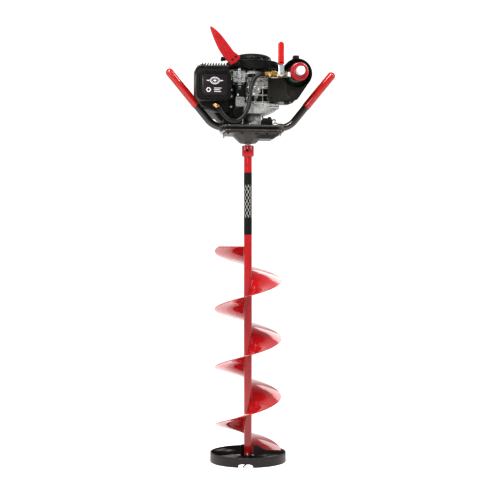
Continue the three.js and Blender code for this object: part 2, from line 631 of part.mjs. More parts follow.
// ---- fuel ----
function fuel() {
  const [x, z] = BOTTLE;
  // A thin shell with an open neck.
  const inner = BOTTLE_R - 2;
  const bottle = turnedY([
    [3, -64], [12, -64], [12, -42], [16, -42], [16, -36], [36, -30], [46, -20], [BOTTLE_R, -8],
    [BOTTLE_R, 128], [44, 140], [36, 144], [0, 144], [0, 142], [35, 142], [inner, 127],
    [inner, -8], [34, -28], [3, -36], [3, -64],
  ], x, z, 24);
  piece('gas_bottle', bottle, 0x2c4a36, 0.4, 0.3);

  // Shroud: a ring round the bottle with a web that reaches the engine.
  const front = SHROUD_FRONT;
  const ring = turnedY([
    [BOTTLE_R + 1.3, front], [SHROUD_R, front], [SHROUD_R, 56], [BOTTLE_R + 1.3, 56],
    [BOTTLE_R + 1.3, front],
  ], x, z, 24);
  const web = sideways(outline([
    [64, 1371], [110, 1371], [x, z], [x + 38, z - 37], [171, 1296], [150, 1287], [62, 1287],
  ]), front, front + 6);
  const webBack = sideways(outline([
    [87.5, 1371], [110, 1371], [x, z], [x + 38, z - 37], [171, 1296], [150, 1287], [87.5, 1287],
  ]), 34, 40);
  const floorStrip = box(87.5, 150, front + 2, 38, 1287, 1291);
  const tabTop = box(x - 18, x + 6, front + 2, front + 16, z + 50, z + 64);
  const tabLow = box(122, 142, front, front + 14, 1278, 1290);
  const bottleRoom = rodY(BOTTLE_R + 1.3, -90, 80, x, z, 24);
  const mount = box(86 + GAP, 90, front + 5, 80, 1288, 1371);
  const holder = cut(join(ring, web, webBack, floorStrip, tabTop, tabLow, mount), bottleRoom);
  piece('bottle_shroud', holder, 0x34332f, 0.55);

  // Regulator: its body screws on the bottle and its outlet points at the valve.
  const knobR = 15.5;
  const body = turnedY([
    [0, -134], [13.5, -134], [knobR, -131], [knobR, -85], [21, -84], [21, -52],
    [12 + GAP, -52], [12 + GAP, -65], [0, -65],
  ], x, z);
  const outlet = rodX(9, x - 40, x - 14, VALVE[1], VALVE[2], 16);
  piece('regulator_body', join(body, outlet), 0xc8ccd0, 0.3, 0.8);
  const cap = turnedY([
    [knobR + GAP, -104], [29, -104], [33, -100], [33, -86], [31, -84 - GAP],
    [knobR + GAP, -85 - GAP], [knobR + GAP, -104],
  ], x, z, 24);
  piece('regulator_cap', cap, 0xc02a2c, 0.4);

  // Ball valve: body between the outlet's union nut and the hose adapter.
  const [vx, vy, vz] = VALVE;
  const valveBody = join(
    rodX(10.5, vx - 15, vx + 15, vy, vz, 16), rodX(12, vx + 9, vx + 19, vy, vz, 6),
    rodY(7.5, vy - 15, vy, vx, vz, 16));
  piece('valve_body', valveBody, 0xcda555, 0.3, 0.9);
  const nut = rodX(12, vx + 19 + GAP, x - 40 - GAP, vy, vz, 6);
  piece('union_nut', nut, 0xc8ccd0, 0.3, 0.9);
  const adapter = join(
    rodX(12, vx - 36, vx - 15 - GAP, vy, vz, 6), rodX(9, vx - 42, vx - 36, vy, vz, 16),
    rodX(11, vx - 58, vx - 42, vy, vz, 6));
  piece('hose_adapter', adapter, 0xcda555, 0.3, 0.9);

  const strap = sideways(roundedRect(vx - 11, vx + 9, vz - 11, vz + 32, 8), vy - 20, vy - 15 - GAP);
  const stemNut = rodY(7, vy - 25, vy - 19, vx, vz, 6);
  piece('valve_lever', join(strap, stemNut), 0xc8ccd0, 0.35, 0.8);
  const sleeve = sideways(roundedRect(vx - 12, vx + 9, vz + 32 + GAP, vz + 112, 10), vy - 24, vy - 13);
  piece('lever_sleeve', sleeve, 0xd8262c, 0.35);
}

// The hose from the adapter down and round to the elbow under the air filter.
const HOSE_R = 7.2;
const HOSE_ROUTE = [
  [48.3, -74, 1382.7], [38.3, -74, 1382.2], [27.4, -74.2, 1377.8], [13.6, -75, 1364.5],
  [3.6, -77.5, 1345.2], [-1.2, -81, 1324.2], [-4.3, -85, 1301.7], [-7.3, -89, 1280],
  [-12.9, -93, 1258.2], [-23, -97, 1237.9], [-38.6, -100, 1220.8], [-58.3, -102, 1211.1],
  [-78.9, -103, 1215.2], [-95.1, -103.5, 1228], [-108.2, -103, 1243.5], [-118.4, -102, 1259.2],
];

function hose() {
  const points = HOSE_ROUTE.map(([x, y, z]) => new THREE.Vector3(x, y, z));
  const curve = new THREE.CatmullRomCurve3(points, false, 'centripetal');
  piece('hose', tubeAlong(curve, HOSE_R, 0, 4, 30), 0x1c1b1a, 0.6);

  // The elbow takes the hose's end along its direction and turns up into the filter base.
  const end = points[points.length - 1];
  const direction = curve.getTangent(1);
  const nipple = new THREE.CylinderGeometry(8, 8, 14, 16);
  const turn = new THREE.Quaternion().setFromUnitVectors(new THREE.Vector3(0, 1, 0), direction);
  const middle = end.clone().addScaledVector(direction, 7 + GAP);
  nipple.applyQuaternion(turn).translate(middle.x, middle.y, middle.z);
  const knee = new THREE.SphereGeometry(8, 10, 7).translate(-128.6, -101, 1270);
  const riser = rodY(7, -101, -76, -128.6, 1270, 16);
  piece('hose_elbow', join(nipple, knee, riser), 0xcda555, 0.3, 0.9);
}

// ---- controls ----
function controls() {
  const body = join(
    box(42, 82, -52, -30, PLATE_Z[1] + GAP, 1222), rodX(8, 46, 80, -41, 1222, 16));
  const well = box(66, 78, -46, -36, 1214, 1240);
  piece('stop_switch', cut(body, well), 0x1f1e1d, 0.5);
  const rocker = box(66.6, 77.4, -45.4, -36.6, 1218, 1234);
  piece('stop_button', rocker, 0xb02020, 0.4);
}

auger();
bladeGuard();
gearcase();
geartrain();
handlebars();
engineBase();
crankTrain();
intakeAndExhaust();
shrouds();
starter();
leafGuard();
fuel();
hose();
controls();

export default group;
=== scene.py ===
import math

import bpy
import bmesh
from mathutils import Matrix, Vector


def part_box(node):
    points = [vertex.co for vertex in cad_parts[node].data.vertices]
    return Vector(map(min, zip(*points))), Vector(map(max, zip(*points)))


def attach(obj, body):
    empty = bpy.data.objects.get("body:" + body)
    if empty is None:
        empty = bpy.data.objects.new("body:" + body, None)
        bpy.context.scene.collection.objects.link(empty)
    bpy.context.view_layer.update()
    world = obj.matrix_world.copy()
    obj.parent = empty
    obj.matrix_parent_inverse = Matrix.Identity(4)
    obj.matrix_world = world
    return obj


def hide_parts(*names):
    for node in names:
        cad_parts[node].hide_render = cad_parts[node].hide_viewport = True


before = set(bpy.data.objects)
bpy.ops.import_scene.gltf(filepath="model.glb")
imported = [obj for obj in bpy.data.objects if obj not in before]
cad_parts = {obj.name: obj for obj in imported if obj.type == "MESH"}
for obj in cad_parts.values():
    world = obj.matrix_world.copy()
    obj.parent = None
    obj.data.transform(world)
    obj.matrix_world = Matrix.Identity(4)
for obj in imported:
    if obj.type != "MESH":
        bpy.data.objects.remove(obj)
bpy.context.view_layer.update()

# Lengths in this script are millimetres. The mesh helpers turn them into Blender's metres.
MM = 0.001


# ---------------------------------------------------------------- the frame's sizes
def span(node):
    """(x0, x1, y0, y1, z0, z1) of a CAD node."""
    lo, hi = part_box(node)
    return tuple(v / MM for v in (lo.x, hi.x, lo.y, hi.y, lo.z, hi.z))


# ---------------------------------------------------------------- stage and camera
CAMERA_AZIMUTH = math.radians(-8.0)
CAMERA_AWAY = 4.021
CAMERA_ASIDE = 0.0076
CAMERA_HEIGHT = 0.759
CAMERA_LENS = 80.4


def stage():
    turn = Matrix.Rotation(CAMERA_AZIMUTH, 4, "Z")
    camera = bpy.data.objects.new("camera", bpy.data.cameras.new("camera"))
    camera.data.lens = CAMERA_LENS
    camera.data.clip_end = 50
    camera.location = turn @ Vector((CAMERA_ASIDE, -CAMERA_AWAY, CAMERA_HEIGHT))
    camera.rotation_euler = (math.radians(90), 0, CAMERA_AZIMUTH)
    bpy.context.scene.collection.objects.link(camera)
    bpy.context.scene.camera = camera

    bpy.ops.mesh.primitive_circle_add(vertices=96, radius=30, fill_type="NGON")
    floor = bpy.context.object
    floor.name = "floor"
    white = bpy.data.materials.new("floor_white")
    white.use_nodes = True
    shader = white.node_tree.nodes["Principled BSDF"]
    shader.inputs["Base Color"].default_value = (0.96, 0.96, 0.96, 1)
    shader.inputs["Roughness"].default_value = 0.9
    shader.inputs["Emission Color"].default_value = (1, 1, 1, 1)
    shader.inputs["Emission Strength"].default_value = 0.2
    floor.data.materials.append(white)

    studio_light()


def studio_light():
    """A white wall behind the object, a greyer room on the other sides, and soft lamps."""
    world = bpy.data.worlds.new("studio")
    world.use_nodes = True
    tree = world.node_tree
    background = tree.nodes["Background"]
    where = tree.nodes.new("ShaderNodeTexCoord")
    apart = tree.nodes.new("ShaderNodeSeparateXYZ")
    tree.links.new(where.outputs["Generated"], apart.inputs[0])
    wall = tree.nodes.new("ShaderNodeMapRange")
    wall.interpolation_type = "SMOOTHSTEP"
    wall.inputs["From Min"].default_value = -0.1
    wall.inputs["From Max"].default_value = 0.5
    wall.inputs["To Min"].default_value = 0.42
    wall.inputs["To Max"].default_value = 1.15
    tree.links.new(apart.outputs["Y"], wall.inputs["Value"])
    ceiling = tree.nodes.new("ShaderNodeMapRange")
    ceiling.interpolation_type = "SMOOTHSTEP"
    ceiling.inputs["From Min"].default_value = 0.3
    ceiling.inputs["From Max"].default_value = 0.8
    ceiling.inputs["To Min"].default_value = 1.0
    ceiling.inputs["To Max"].default_value = 0.55
    tree.links.new(apart.outputs["Z"], ceiling.inputs["Value"])
    level = tree.nodes.new("ShaderNodeMath")
    level.operation = "MULTIPLY"
    tree.links.new(wall.outputs["Result"], level.inputs[0])
    tree.links.new(ceiling.outputs["Result"], level.inputs[1])
    tree.links.new(level.outputs[0], background.inputs["Strength"])
    background.inputs["Color"].default_value = (1, 1, 1, 1)
    bpy.context.scene.world = world
    bpy.context.scene.view_settings.view_transform = "Standard"
    bpy.context.scene.view_settings.gamma = 0.82

    sun = bpy.data.lights.new("sun", "SUN")
    sun.energy = 1.45
    sun.angle = math.radians(35)
    sun_lamp = bpy.data.objects.new("sun", sun)
    sun_lamp.rotation_euler = (math.radians(32), 0, math.radians(-28))
    bpy.context.scene.collection.objects.link(sun_lamp)
    lamps = [
        ("key", (-0.4, -1.7, 3.3), 0.7, 46),
        ("front", (-1.2, -3.6, 1.9), 0.9, 22),
        ("strip_right", (2.2, -1.3, 1.9), 0.7, 12),
        ("strip_left", (-2.4, -0.9, 1.8), 0.7, 12),
        ("streak_right", (1.5, -1.3, 2.7), 0.8, 34),
        ("streak_left", (-1.5, -1.3, 2.7), 0.8, 34),
        ("rim", (1.2, 2.6, 2.8), 1.2, 14),
    ]
    for name, place, size, power in lamps:
        light = bpy.data.lights.new(name, "AREA")
        light.size = size
        light.energy = power
        lamp = bpy.data.objects.new(name, light)
        lamp.location = place
        aim = Vector((0, 0, 0.9)) - Vector(place)
        lamp.rotation_euler = aim.to_track_quat("-Z", "Y").to_euler()
        bpy.context.scene.collection.objects.link(lamp)


# ---------------------------------------------------------------- materials
def surface(name, colour, rough, metal=0.0, second=None, share=0.5, grain=60.0, patch=9.0,
            bump=0.05, bump_scale=400.0, coat=0.0, rough_spread=0.1, specular=0.5):
    """A procedural finish: two mottled tones, uneven gloss and a fine raised grain."""
    material = bpy.data.materials.new(name)
    material.use_nodes = True
    tree = material.node_tree
    shader = tree.nodes["Principled BSDF"]
    shader.inputs["Metallic"].default_value = metal
    shader.inputs["Coat Weight"].default_value = coat
    shader.inputs["Coat Roughness"].default_value = 0.08
    shader.inputs["Specular IOR Level"].default_value = specular
    where = tree.nodes.new("ShaderNodeTexCoord")

    def noise(scale, detail, roughness=0.55):
        node = tree.nodes.new("ShaderNodeTexNoise")
        node.inputs["Scale"].default_value = scale
        node.inputs["Detail"].default_value = detail
        node.inputs["Roughness"].default_value = roughness
        tree.links.new(where.outputs["Object"], node.inputs["Vector"])
        return node

    wide = noise(patch, 4)
    fine = noise(grain, 6, 0.65)
    blend = tree.nodes.new("ShaderNodeMath")
    blend.operation = "MULTIPLY_ADD"
    tree.links.new(wide.outputs["Fac"], blend.inputs[0])
    blend.inputs[1].default_value = 0.5
    half = tree.nodes.new("ShaderNodeMath")
    half.operation = "MULTIPLY"
    tree.links.new(fine.outputs["Fac"], half.inputs[0])
    half.inputs[1].default_value = 0.5
    tree.links.new(half.outputs[0], blend.inputs[2])
    ramp = tree.nodes.new("ShaderNodeValToRGB")
    other = second or tuple(c * 0.8 for c in colour)
    ramp.color_ramp.elements[0].position = share - 0.16
    ramp.color_ramp.elements[0].color = (*other, 1)
    ramp.color_ramp.elements[1].position = share + 0.12
    ramp.color_ramp.elements[1].color = (*colour, 1)
    tree.links.new(blend.outputs[0], ramp.inputs["Fac"])
    tree.links.new(ramp.outputs["Color"], shader.inputs["Base Color"])

    gloss = tree.nodes.new("ShaderNodeMapRange")
    gloss.inputs["From Min"].default_value = 0.3
    gloss.inputs["From Max"].default_value = 0.7
    gloss.inputs["To Min"].default_value = max(0.03, rough - rough_spread)
    gloss.inputs["To Max"].default_value = min(1.0, rough + rough_spread)
    tree.links.new(blend.outputs[0], gloss.inputs["Value"])
    tree.links.new(gloss.outputs["Result"], shader.inputs["Roughness"])

    raised = noise(bump_scale, 3)
    lift = tree.nodes.new("ShaderNodeBump")
    lift.inputs["Strength"].default_value = bump
    lift.inputs["Distance"].default_value = 0.001
    tree.links.new(raised.outputs["Fac"], lift.inputs["Height"])
    tree.links.new(lift.outputs["Normal"], shader.inputs["Normal"])
    return material


FINISH = {
    "red_paint": surface("red_paint", (0.37, 0.008, 0.011), 0.13, second=(0.29, 0.006, 0.008),
                         coat=0.45, bump=0.03, bump_scale=260, rough_spread=0.05, specular=0.45),
    "red_vinyl": surface("red_vinyl", (0.37, 0.009, 0.006), 0.13, second=(0.29, 0.006, 0.005),
                         coat=0.5, bump=0.05, bump_scale=500, rough_spread=0.04, specular=0.5),
    "red_plastic": surface("red_plastic", (0.30, 0.008, 0.010), 0.34, second=(0.24, 0.006, 0.008),
                           bump=0.08, bump_scale=700, specular=0.3),
    "guard_plastic": surface("guard_plastic", (0.024, 0.017, 0.016), 0.40, second=(0.015, 0.011, 0.011),
                             bump=0.25, bump_scale=900, specular=0.32),
    "black_plastic": surface("black_plastic", (0.006, 0.006, 0.005), 0.38, second=(0.003, 0.003, 0.0028),
                             bump=0.3, bump_scale=1100, specular=0.16),
    "gearcase_paint": surface("gearcase_paint", (0.052, 0.045, 0.039), 0.36, second=(0.030, 0.026, 0.023),
                              bump=0.3, bump_scale=600, specular=0.4),
    # The mounting plate's paint: a lighter, glossier copy of the gearcase paint; its lighter colour is
    # painted highlight that brightens the plate's lips.
    "plate_paint_and_highlight": surface("plate_paint_and_highlight", (0.075, 0.066, 0.058), 0.24, second=(0.038, 0.033, 0.029),
                           coat=0.6, bump=0.2, bump_scale=600, specular=0.5),
    "bar_paint": surface("bar_paint", (0.018, 0.012, 0.009), 0.16, second=(0.010, 0.007, 0.006),
                         coat=0.7, bump=0.05, bump_scale=300, specular=0.5, rough_spread=0.05),
    "casting": surface("casting", (0.46, 0.46, 0.44), 0.34, metal=0.8, second=(0.13, 0.13, 0.125),
                       bump=0.6, bump_scale=700, grain=120, patch=30, share=0.46),
    "casting_grey": surface("casting_grey", (0.40, 0.40, 0.38), 0.36, metal=0.7,
                            second=(0.10, 0.10, 0.096), bump=0.6, bump_scale=700, grain=120,
                            patch=26, share=0.5),
    "steel": surface("steel", (0.52, 0.53, 0.54), 0.28, metal=1.0, second=(0.34, 0.35, 0.36),
                     bump=0.1, bump_scale=900),
    "dark_screw": surface("dark_screw", (0.02, 0.02, 0.022), 0.32, metal=0.8, bump=0.1),
    "brass": surface("brass", (0.80, 0.55, 0.22), 0.22, metal=1.0, second=(0.52, 0.32, 0.11),
                     bump=0.08, bump_scale=800, grain=150),
    "zinc": surface("zinc", (0.74, 0.77, 0.80), 0.22, metal=0.9, second=(0.50, 0.53, 0.57),
                    bump=0.1, bump_scale=600, grain=140),
    # The bottle's deep green, darkened below its own green as painted shade for the shade it sits in inside
    # the holder.
    "bottle_paint": surface("bottle_paint", (0.012, 0.045, 0.024), 0.22, second=(0.008, 0.032, 0.017),
                            coat=0.4, bump=0.05),
    "hose_rubber": surface("hose_rubber", (0.006, 0.0055, 0.005), 0.30, second=(0.003, 0.003, 0.0028),
                           bump=0.2, bump_scale=1200, specular=0.35),
    "hot_steel": surface("hot_steel", (0.20, 0.15, 0.12), 0.42, metal=0.9, second=(0.10, 0.07, 0.055),
                         bump=0.25),
    "ceramic": surface("ceramic", (0.80, 0.79, 0.75), 0.18, second=(0.70, 0.69, 0.65), bump=0.02),
    "foam": surface("foam", (0.06, 0.055, 0.048), 0.9, second=(0.025, 0.024, 0.021), bump=0.9,
                    bump_scale=500),
    "decal_dark": surface("decal_dark", (0.012, 0.006, 0.008), 0.3, second=(0.007, 0.004, 0.005),
                          coat=0.3, bump=0.02, specular=0.3),
    "decal_silver": surface("decal_silver", (0.58, 0.58, 0.60), 0.3, metal=0.3, bump=0.03),
    "shroud_plastic": surface("shroud_plastic", (0.013, 0.011, 0.008), 0.32,
                              second=(0.008, 0.007, 0.005), bump=0.3, bump_scale=900, specular=0.24),
    "knob_zinc": surface("knob_zinc", (0.78, 0.83, 0.87), 0.34, metal=0.45, second=(0.62, 0.67, 0.71),
                         bump=0.08, bump_scale=700),
    "red_cap": surface("red_cap", (0.30, 0.008, 0.014), 0.28, second=(0.20, 0.005, 0.009), bump=0.05),
    "bottle_band": surface("bottle_band", (0.62, 0.61, 0.57), 0.3, coat=0.3, bump=0.02),
    "rope": surface("rope", (0.55, 0.53, 0.46), 0.8, second=(0.36, 0.34, 0.29), bump=0.6,
                    bump_scale=900),
}


# ---------------------------------------------------------------- mesh helpers
def new_object(name, mesh):
    obj = bpy.data.objects.new(name, mesh)
    bpy.context.scene.collection.objects.link(obj)
    return obj


def from_faces(name, verts, faces):
    mesh = bpy.data.meshes.new(name)
    mesh.from_pydata([tuple(c * MM for c in v) for v in verts], [], faces)
    tidy = bmesh.new()
    tidy.from_mesh(mesh)
    bmesh.ops.remove_doubles(tidy, verts=tidy.verts, dist=1e-6)
    bmesh.ops.recalc_face_normals(tidy, faces=tidy.faces)
    tidy.to_mesh(mesh)
    tidy.free()
    return new_object(name, mesh)


def shade(obj, angle=35):
    mesh = obj.data
    mesh.polygons.foreach_set("use_smooth", [True] * len(mesh.polygons))
    mesh.set_sharp_from_angle(angle=math.radians(angle))


def bevel(obj, width, segments=3, angle=35):
    """Rounds the sharp edges, for good."""
    change = obj.modifiers.new("bevel", "BEVEL")
    change.width = width * MM
    change.segments = segments
    change.limit_method = "ANGLE"
    change.angle_limit = math.radians(angle)
    change.harden_normals = False
    apply_all(obj)


def apply_all(obj):
    bpy.context.view_layer.update()
    seen = obj.evaluated_get(bpy.context.evaluated_depsgraph_get())
    mesh = bpy.data.meshes.new_from_object(seen)
    obj.modifiers.clear()
    old = obj.data
    obj.data = mesh
    bpy.data.meshes.remove(old)


def cut(obj, *tools, crossing=False):
    """Takes the tools' shapes out of obj and deletes the tools. crossing says that obj or a
    tool is made of shapes that cross each other."""
    for tool in tools:
        change = obj.modifiers.new("cut", "BOOLEAN")
        change.operation = "DIFFERENCE"
        change.solver = "EXACT"
        change.use_self = crossing
        change.object = tool
    apply_all(obj)
    for tool in tools:
        bpy.data.objects.remove(tool)
    return obj


def join(name, *objs):
    """One object of several shapes."""
    mesh = bpy.data.meshes.new(name)
    whole = bmesh.new()
    for obj in objs:
        part = obj.data.copy()
        part.transform(obj.matrix_world)
        whole.from_mesh(part)
        bpy.data.meshes.remove(part)
    whole.to_mesh(mesh)
    whole.free()
    for obj in objs:
        bpy.data.objects.remove(obj)
    return new_object(name, mesh)


def cast(name, voxel, smooth, *objs):
    """Melts shapes into one skin with soft fillets where they meet, as in a casting."""
    obj = join(name, *objs)
    remesh = obj.modifiers.new("skin", "REMESH")
    remesh.mode = "VOXEL"
    remesh.voxel_size = voxel * MM
    soften = obj.modifiers.new("soften", "SMOOTH")
    soften.factor = 0.5
    soften.iterations = smooth
    thin = obj.modifiers.new("thin", "DECIMATE")
    thin.ratio = 0.35
    apply_all(obj)
    return obj


def lathe(name, profile, axis="Z", at=(0, 0, 0), sides=64):
    """Turns (radius, height) pairs about an axis through at. A radius of 0 closes an end."""
    verts = []
    faces = []
    count = len(profile)
    for i in range(sides):
        angle = 2 * math.pi * i / sides
        for r, h in profile:
            verts.append((r * math.cos(angle), r * math.sin(angle), h))
    for i in range(sides):
        j = (i + 1) % sides
        for k in range(count - 1):
            a, b = i * count + k, i * count + k + 1
            c, d = j * count + k + 1, j * count + k
            if profile[k][0] == 0 and profile[k + 1][0] == 0:
                continue
            faces.append((a, d, c, b))
    turns = {
        "Z": Matrix.Identity(4),
        "Y": Matrix.Rotation(math.radians(-90), 4, "X"),
        "X": Matrix.Rotation(math.radians(90), 4, "Y"),
    }
    obj = from_faces(name, verts, faces)
    obj.data.transform(Matrix.Translation(Vector(at) * MM) @ turns[axis])
    return obj


def prism(name, outline, axis, lo, hi):
    """A flat outline run along an axis from lo to hi. The outline's two coordinates are the
    axes that are left, in X, Y, Z order."""
    count = len(outline)

    def place(a, b, c):
        return {"X": (c, a, b), "Y": (a, c, b), "Z": (a, b, c)}[axis]

    verts = [place(a, b, lo) for a, b in outline] + [place(a, b, hi) for a, b in outline]
    faces = [tuple(range(count)), tuple(range(count, 2 * count))]
    faces += [(i, (i + 1) % count, count + (i + 1) % count, count + i) for i in range(count)]
    return from_faces(name, verts, faces)


def rounded(corners, radius, steps=6):
    """The outline with its corners rounded. radius is one value or one for each corner."""
    points = []
    count = len(corners)
    for i in range(count):
        r = radius[i] if isinstance(radius, (list, tuple)) else radius
        here = Vector(corners[i])
        back = (Vector(corners[i - 1]) - here).normalized()
        ahead = (Vector(corners[(i + 1) % count]) - here).normalized()
        half = back.angle(ahead) / 2
        if r <= 0 or half > 1.5:
            points.append(tuple(here))
            continue
        reach = r / math.tan(half)
        centre = here + (back + ahead).normalized() * (r / math.sin(half))
        first = here + back * reach - centre
        last = here + ahead * reach - centre
        turn = first.angle_signed(last)
        for k in range(steps + 1):
            a = -turn * k / steps
            x = first.x * math.cos(a) - first.y * math.sin(a)
            y = first.x * math.sin(a) + first.y * math.cos(a)
            points.append((centre.x + x, centre.y + y))
    return points


def rectangle(a0, a1, b0, b1, radius, steps=6):
    return rounded([(a0, b0), (a1, b0), (a1, b1), (a0, b1)], radius, steps)


def block(name, x0, x1, y0, y1, z0, z1):
    return prism(name, [(x0, y0), (x1, y0), (x1, y1), (x0, y1)], "Z", z0, z1)


def rod(name, radius, axis, lo, hi, a, b, sides=32, chamfer=0.0):
    """A round bar along an axis from lo to hi. a and b are its two other coordinates."""
    at = {"X": (0, a, b), "Y": (a, 0, b), "Z": (a, b, 0)}[axis]
    c = chamfer
    profile = [(0, lo), (radius - c, lo), (radius, lo + c), (radius, hi - c), (radius - c, hi), (0, hi)]
    return lathe(name, profile, axis, at, sides)


def sweep(name, points, radius, sides=24, caps=True):
    """A round tube through points, as a mesh."""
    curve = bpy.data.curves.new(name, "CURVE")
    curve.dimensions = "3D"
    curve.bevel_depth = radius * MM
    curve.bevel_resolution = sides // 4 - 1
    curve.use_fill_caps = caps
    spline = curve.splines.new("POLY")
    spline.points.add(len(points) - 1)
    for p, q in zip(spline.points, points):
        p.co = (*(Vector(q) * MM), 1)
    line = bpy.data.objects.new(name, curve)
    bpy.context.scene.collection.objects.link(line)
    bpy.context.view_layer.update()
    seen = line.evaluated_get(bpy.context.evaluated_depsgraph_get())
    obj = new_object(name + "_mesh", bpy.data.meshes.new_from_object(seen))
    bpy.data.objects.remove(line)
    obj.name = name
    return obj


def aim(obj, start, way):
    """Moves a shape made along +Z at the origin to a start, pointing along a way."""
    turn = Vector((0, 0, 1)).rotation_difference(way).to_matrix().to_4x4()
    obj.data.transform(Matrix.Translation(start * MM) @ turn)


def hexagon(name, across, axis, lo, hi, a, b):
    """A hexagonal bar with its corners chamfered off at both ends."""
    r = across / math.sqrt(3)
    obj = lathe(name, [(0, lo), (r * 0.92, lo), (r, lo + r * 0.12), (r, hi - r * 0.12),
                       (r * 0.92, hi), (0, hi)],
                axis, {"X": (0, a, b), "Y": (a, 0, b), "Z": (a, b, 0)}[axis], 6)
    return obj


def bolt(name, axis, sign, place, size):
    """A flanged hex bolt whose head stands out along sign times axis."""
    a, b = [place[i] for i in range(3) if "XYZ"[i] != axis]
    base = place["XYZ".index(axis)]
    flange = rod(name + "_flange", size * 0.95, axis, *sorted((base, base + sign * size * 0.3)), a, b,
                 24, size * 0.08)
    head = hexagon(name + "_head", size * 1.35, axis, *sorted((base, base + sign * size * 0.95)), a, b)
    return join(name, flange, head)


def piece(obj, body, slot, *nodes, finish=None, angle=35):
    """Gives a shape its finish, its body and the CAD nodes that it stands for."""
    if obj.type == "MESH":
        shade(obj, angle)
    obj.data.materials.clear()
    obj.data.materials.append(FINISH[finish or slot])
    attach(obj, body)
    if nodes:
        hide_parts(*nodes)
    return obj


def refined(node, width, segments=2, angle=30):
    """A CAD node's own shape with its edges rounded, as a new piece."""
    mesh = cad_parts[node].data.copy()
    obj = new_object(node + "_body", mesh)
    flat = bmesh.new()
    flat.from_mesh(mesh)
    bmesh.ops.remove_doubles(flat, verts=flat.verts, dist=1e-6)
    bmesh.ops.dissolve_limit(flat, angle_limit=math.radians(1), verts=flat.verts, edges=flat.edges)
    flat.to_mesh(mesh)
    flat.free()
    bevel(obj, width, segments, angle)
    return obj


def screw(name, axis, sign, place, size):
    """A pan-head screw with a cross recess."""
    a, b = [place[i] for i in range(3) if "XYZ"[i] != axis]
    base = place["XYZ".index(axis)]
    shape = [(0, 0), (size, 0), (size, 0.35 * size), (0.8 * size, 0.62 * size), (0, 0.7 * size)]
    head = lathe(name, [(r, base + sign * h) for r, h in shape], axis,
                 {"X": (0, a, b), "Y": (a, 0, b), "Z": (a, b, 0)}[axis], 28)
    top = base + sign * 0.72 * size
    deep = base + sign * 0.35 * size
    lo, hi = sorted((deep, top + sign * size * 0.2))
    arm, half = size * 0.62, size * 0.13
    bars = []
    for along, across in ((arm, half), (half, arm)):
        outline = [(a - along, b - across), (a + along, b - across),
                   (a + along, b + across), (a - along, b + across)]
        bars.append(prism(name + "_bar", outline, axis, lo, hi))
    return cut(head, *bars)


# ---------------------------------------------------------------- hose
HOSE_RADIUS = 7.2
HOSE_ROUTE = [
    (48.3, -74, 1382.7), (38.3, -74, 1382.2), (27.4, -74.2, 1377.8), (13.6, -75, 1364.5),
    (3.6, -77.5, 1345.2), (-1.2, -81, 1324.2), (-4.3, -85, 1301.7), (-7.3, -89, 1280),
    (-12.9, -93, 1258.2), (-23, -97, 1237.9), (-38.6, -100, 1220.8), (-58.3, -102, 1211.1),
    (-78.9, -103, 1215.2), (-95.1, -103.5, 1228), (-108.2, -103, 1243.5), (-118.4, -102, 1259.2),
]


def hose():
    curve = bpy.data.curves.new("gas_hose", "CURVE")
    curve.dimensions = "3D"
    curve.bevel_depth = HOSE_RADIUS * MM
    curve.bevel_resolution = 7
    curve.resolution_u = 10
    curve.use_fill_caps = True
    spline = curve.splines.new("BEZIER")
    spline.bezier_points.add(len(HOSE_ROUTE) - 1)
    for knot, place in zip(spline.bezier_points, HOSE_ROUTE):
        knot.co = Vector(place) * MM
        knot.handle_left_type = "AUTO"
        knot.handle_right_type = "AUTO"
    obj = bpy.data.objects.new("gas_hose", curve)
    bpy.context.scene.collection.objects.link(obj)
    piece(obj, "power_head", "hose_rubber", "hose")

    # Crimped ferrules where the hose leaves its fittings.
    first, second = Vector(HOSE_ROUTE[0]), Vector(HOSE_ROUTE[1])
    last, before = Vector(HOSE_ROUTE[-1]), Vector(HOSE_ROUTE[-2])
    for name, start, ahead in (("ferrule_top", first, second), ("ferrule_low", last, before)):
        way = (ahead - start).normalized()
        rings = []
        for i in range(4):
            inner, outer = i * 3.6, i * 3.6 + 3.0
            rings.append(lathe(name + str(i), [(7.0, inner), (8.1, inner), (8.6, inner + 0.5),
                                               (8.6, outer - 0.5), (8.1, outer), (7.0, outer),
                                               (7.0, inner)], "Z", (0, 0, 0), 32))
        sleeve = lathe(name + "_core", [(7.0, 0), (7.9, 0), (7.9, 14), (7.0, 14), (7.0, 0)],
                       "Z", (0, 0, 0), 32)
        obj = join(name, sleeve, *rings)
        aim(obj, start, way)
        piece(obj, "power_head", "dark_screw")


# ---------------------------------------------------------------- auger
FLIGHT_RADIUS = 119.5
FLIGHT_PITCH = 208.0
FLIGHT_THICK = 3.0
FLIGHT_START = -373.7
FLIGHT_TURN = 323.8
FLIGHT_LOW = 22.0
FLIGHT_LIFT = 10.0
FLIGHT_COUNT = 4
SHAFT_RADIUS = 14.3


def on_helix(radius, degrees, lift=0.0):
    """A point on the flight's helix at an angle counted from +X."""
    angle = math.radians(degrees)
    past = degrees - FLIGHT_START
    share = min(max((past - 60) / 90, 0.0), 1.0)
    # The lowest part stands a little higher than a constant pitch would put it.
    raised = FLIGHT_LIFT * (1 - share * share * (3 - 2 * share))
    height = FLIGHT_LOW + FLIGHT_PITCH * past / 360 + raised + lift
    return (radius * math.cos(angle), radius * math.sin(angle), height)


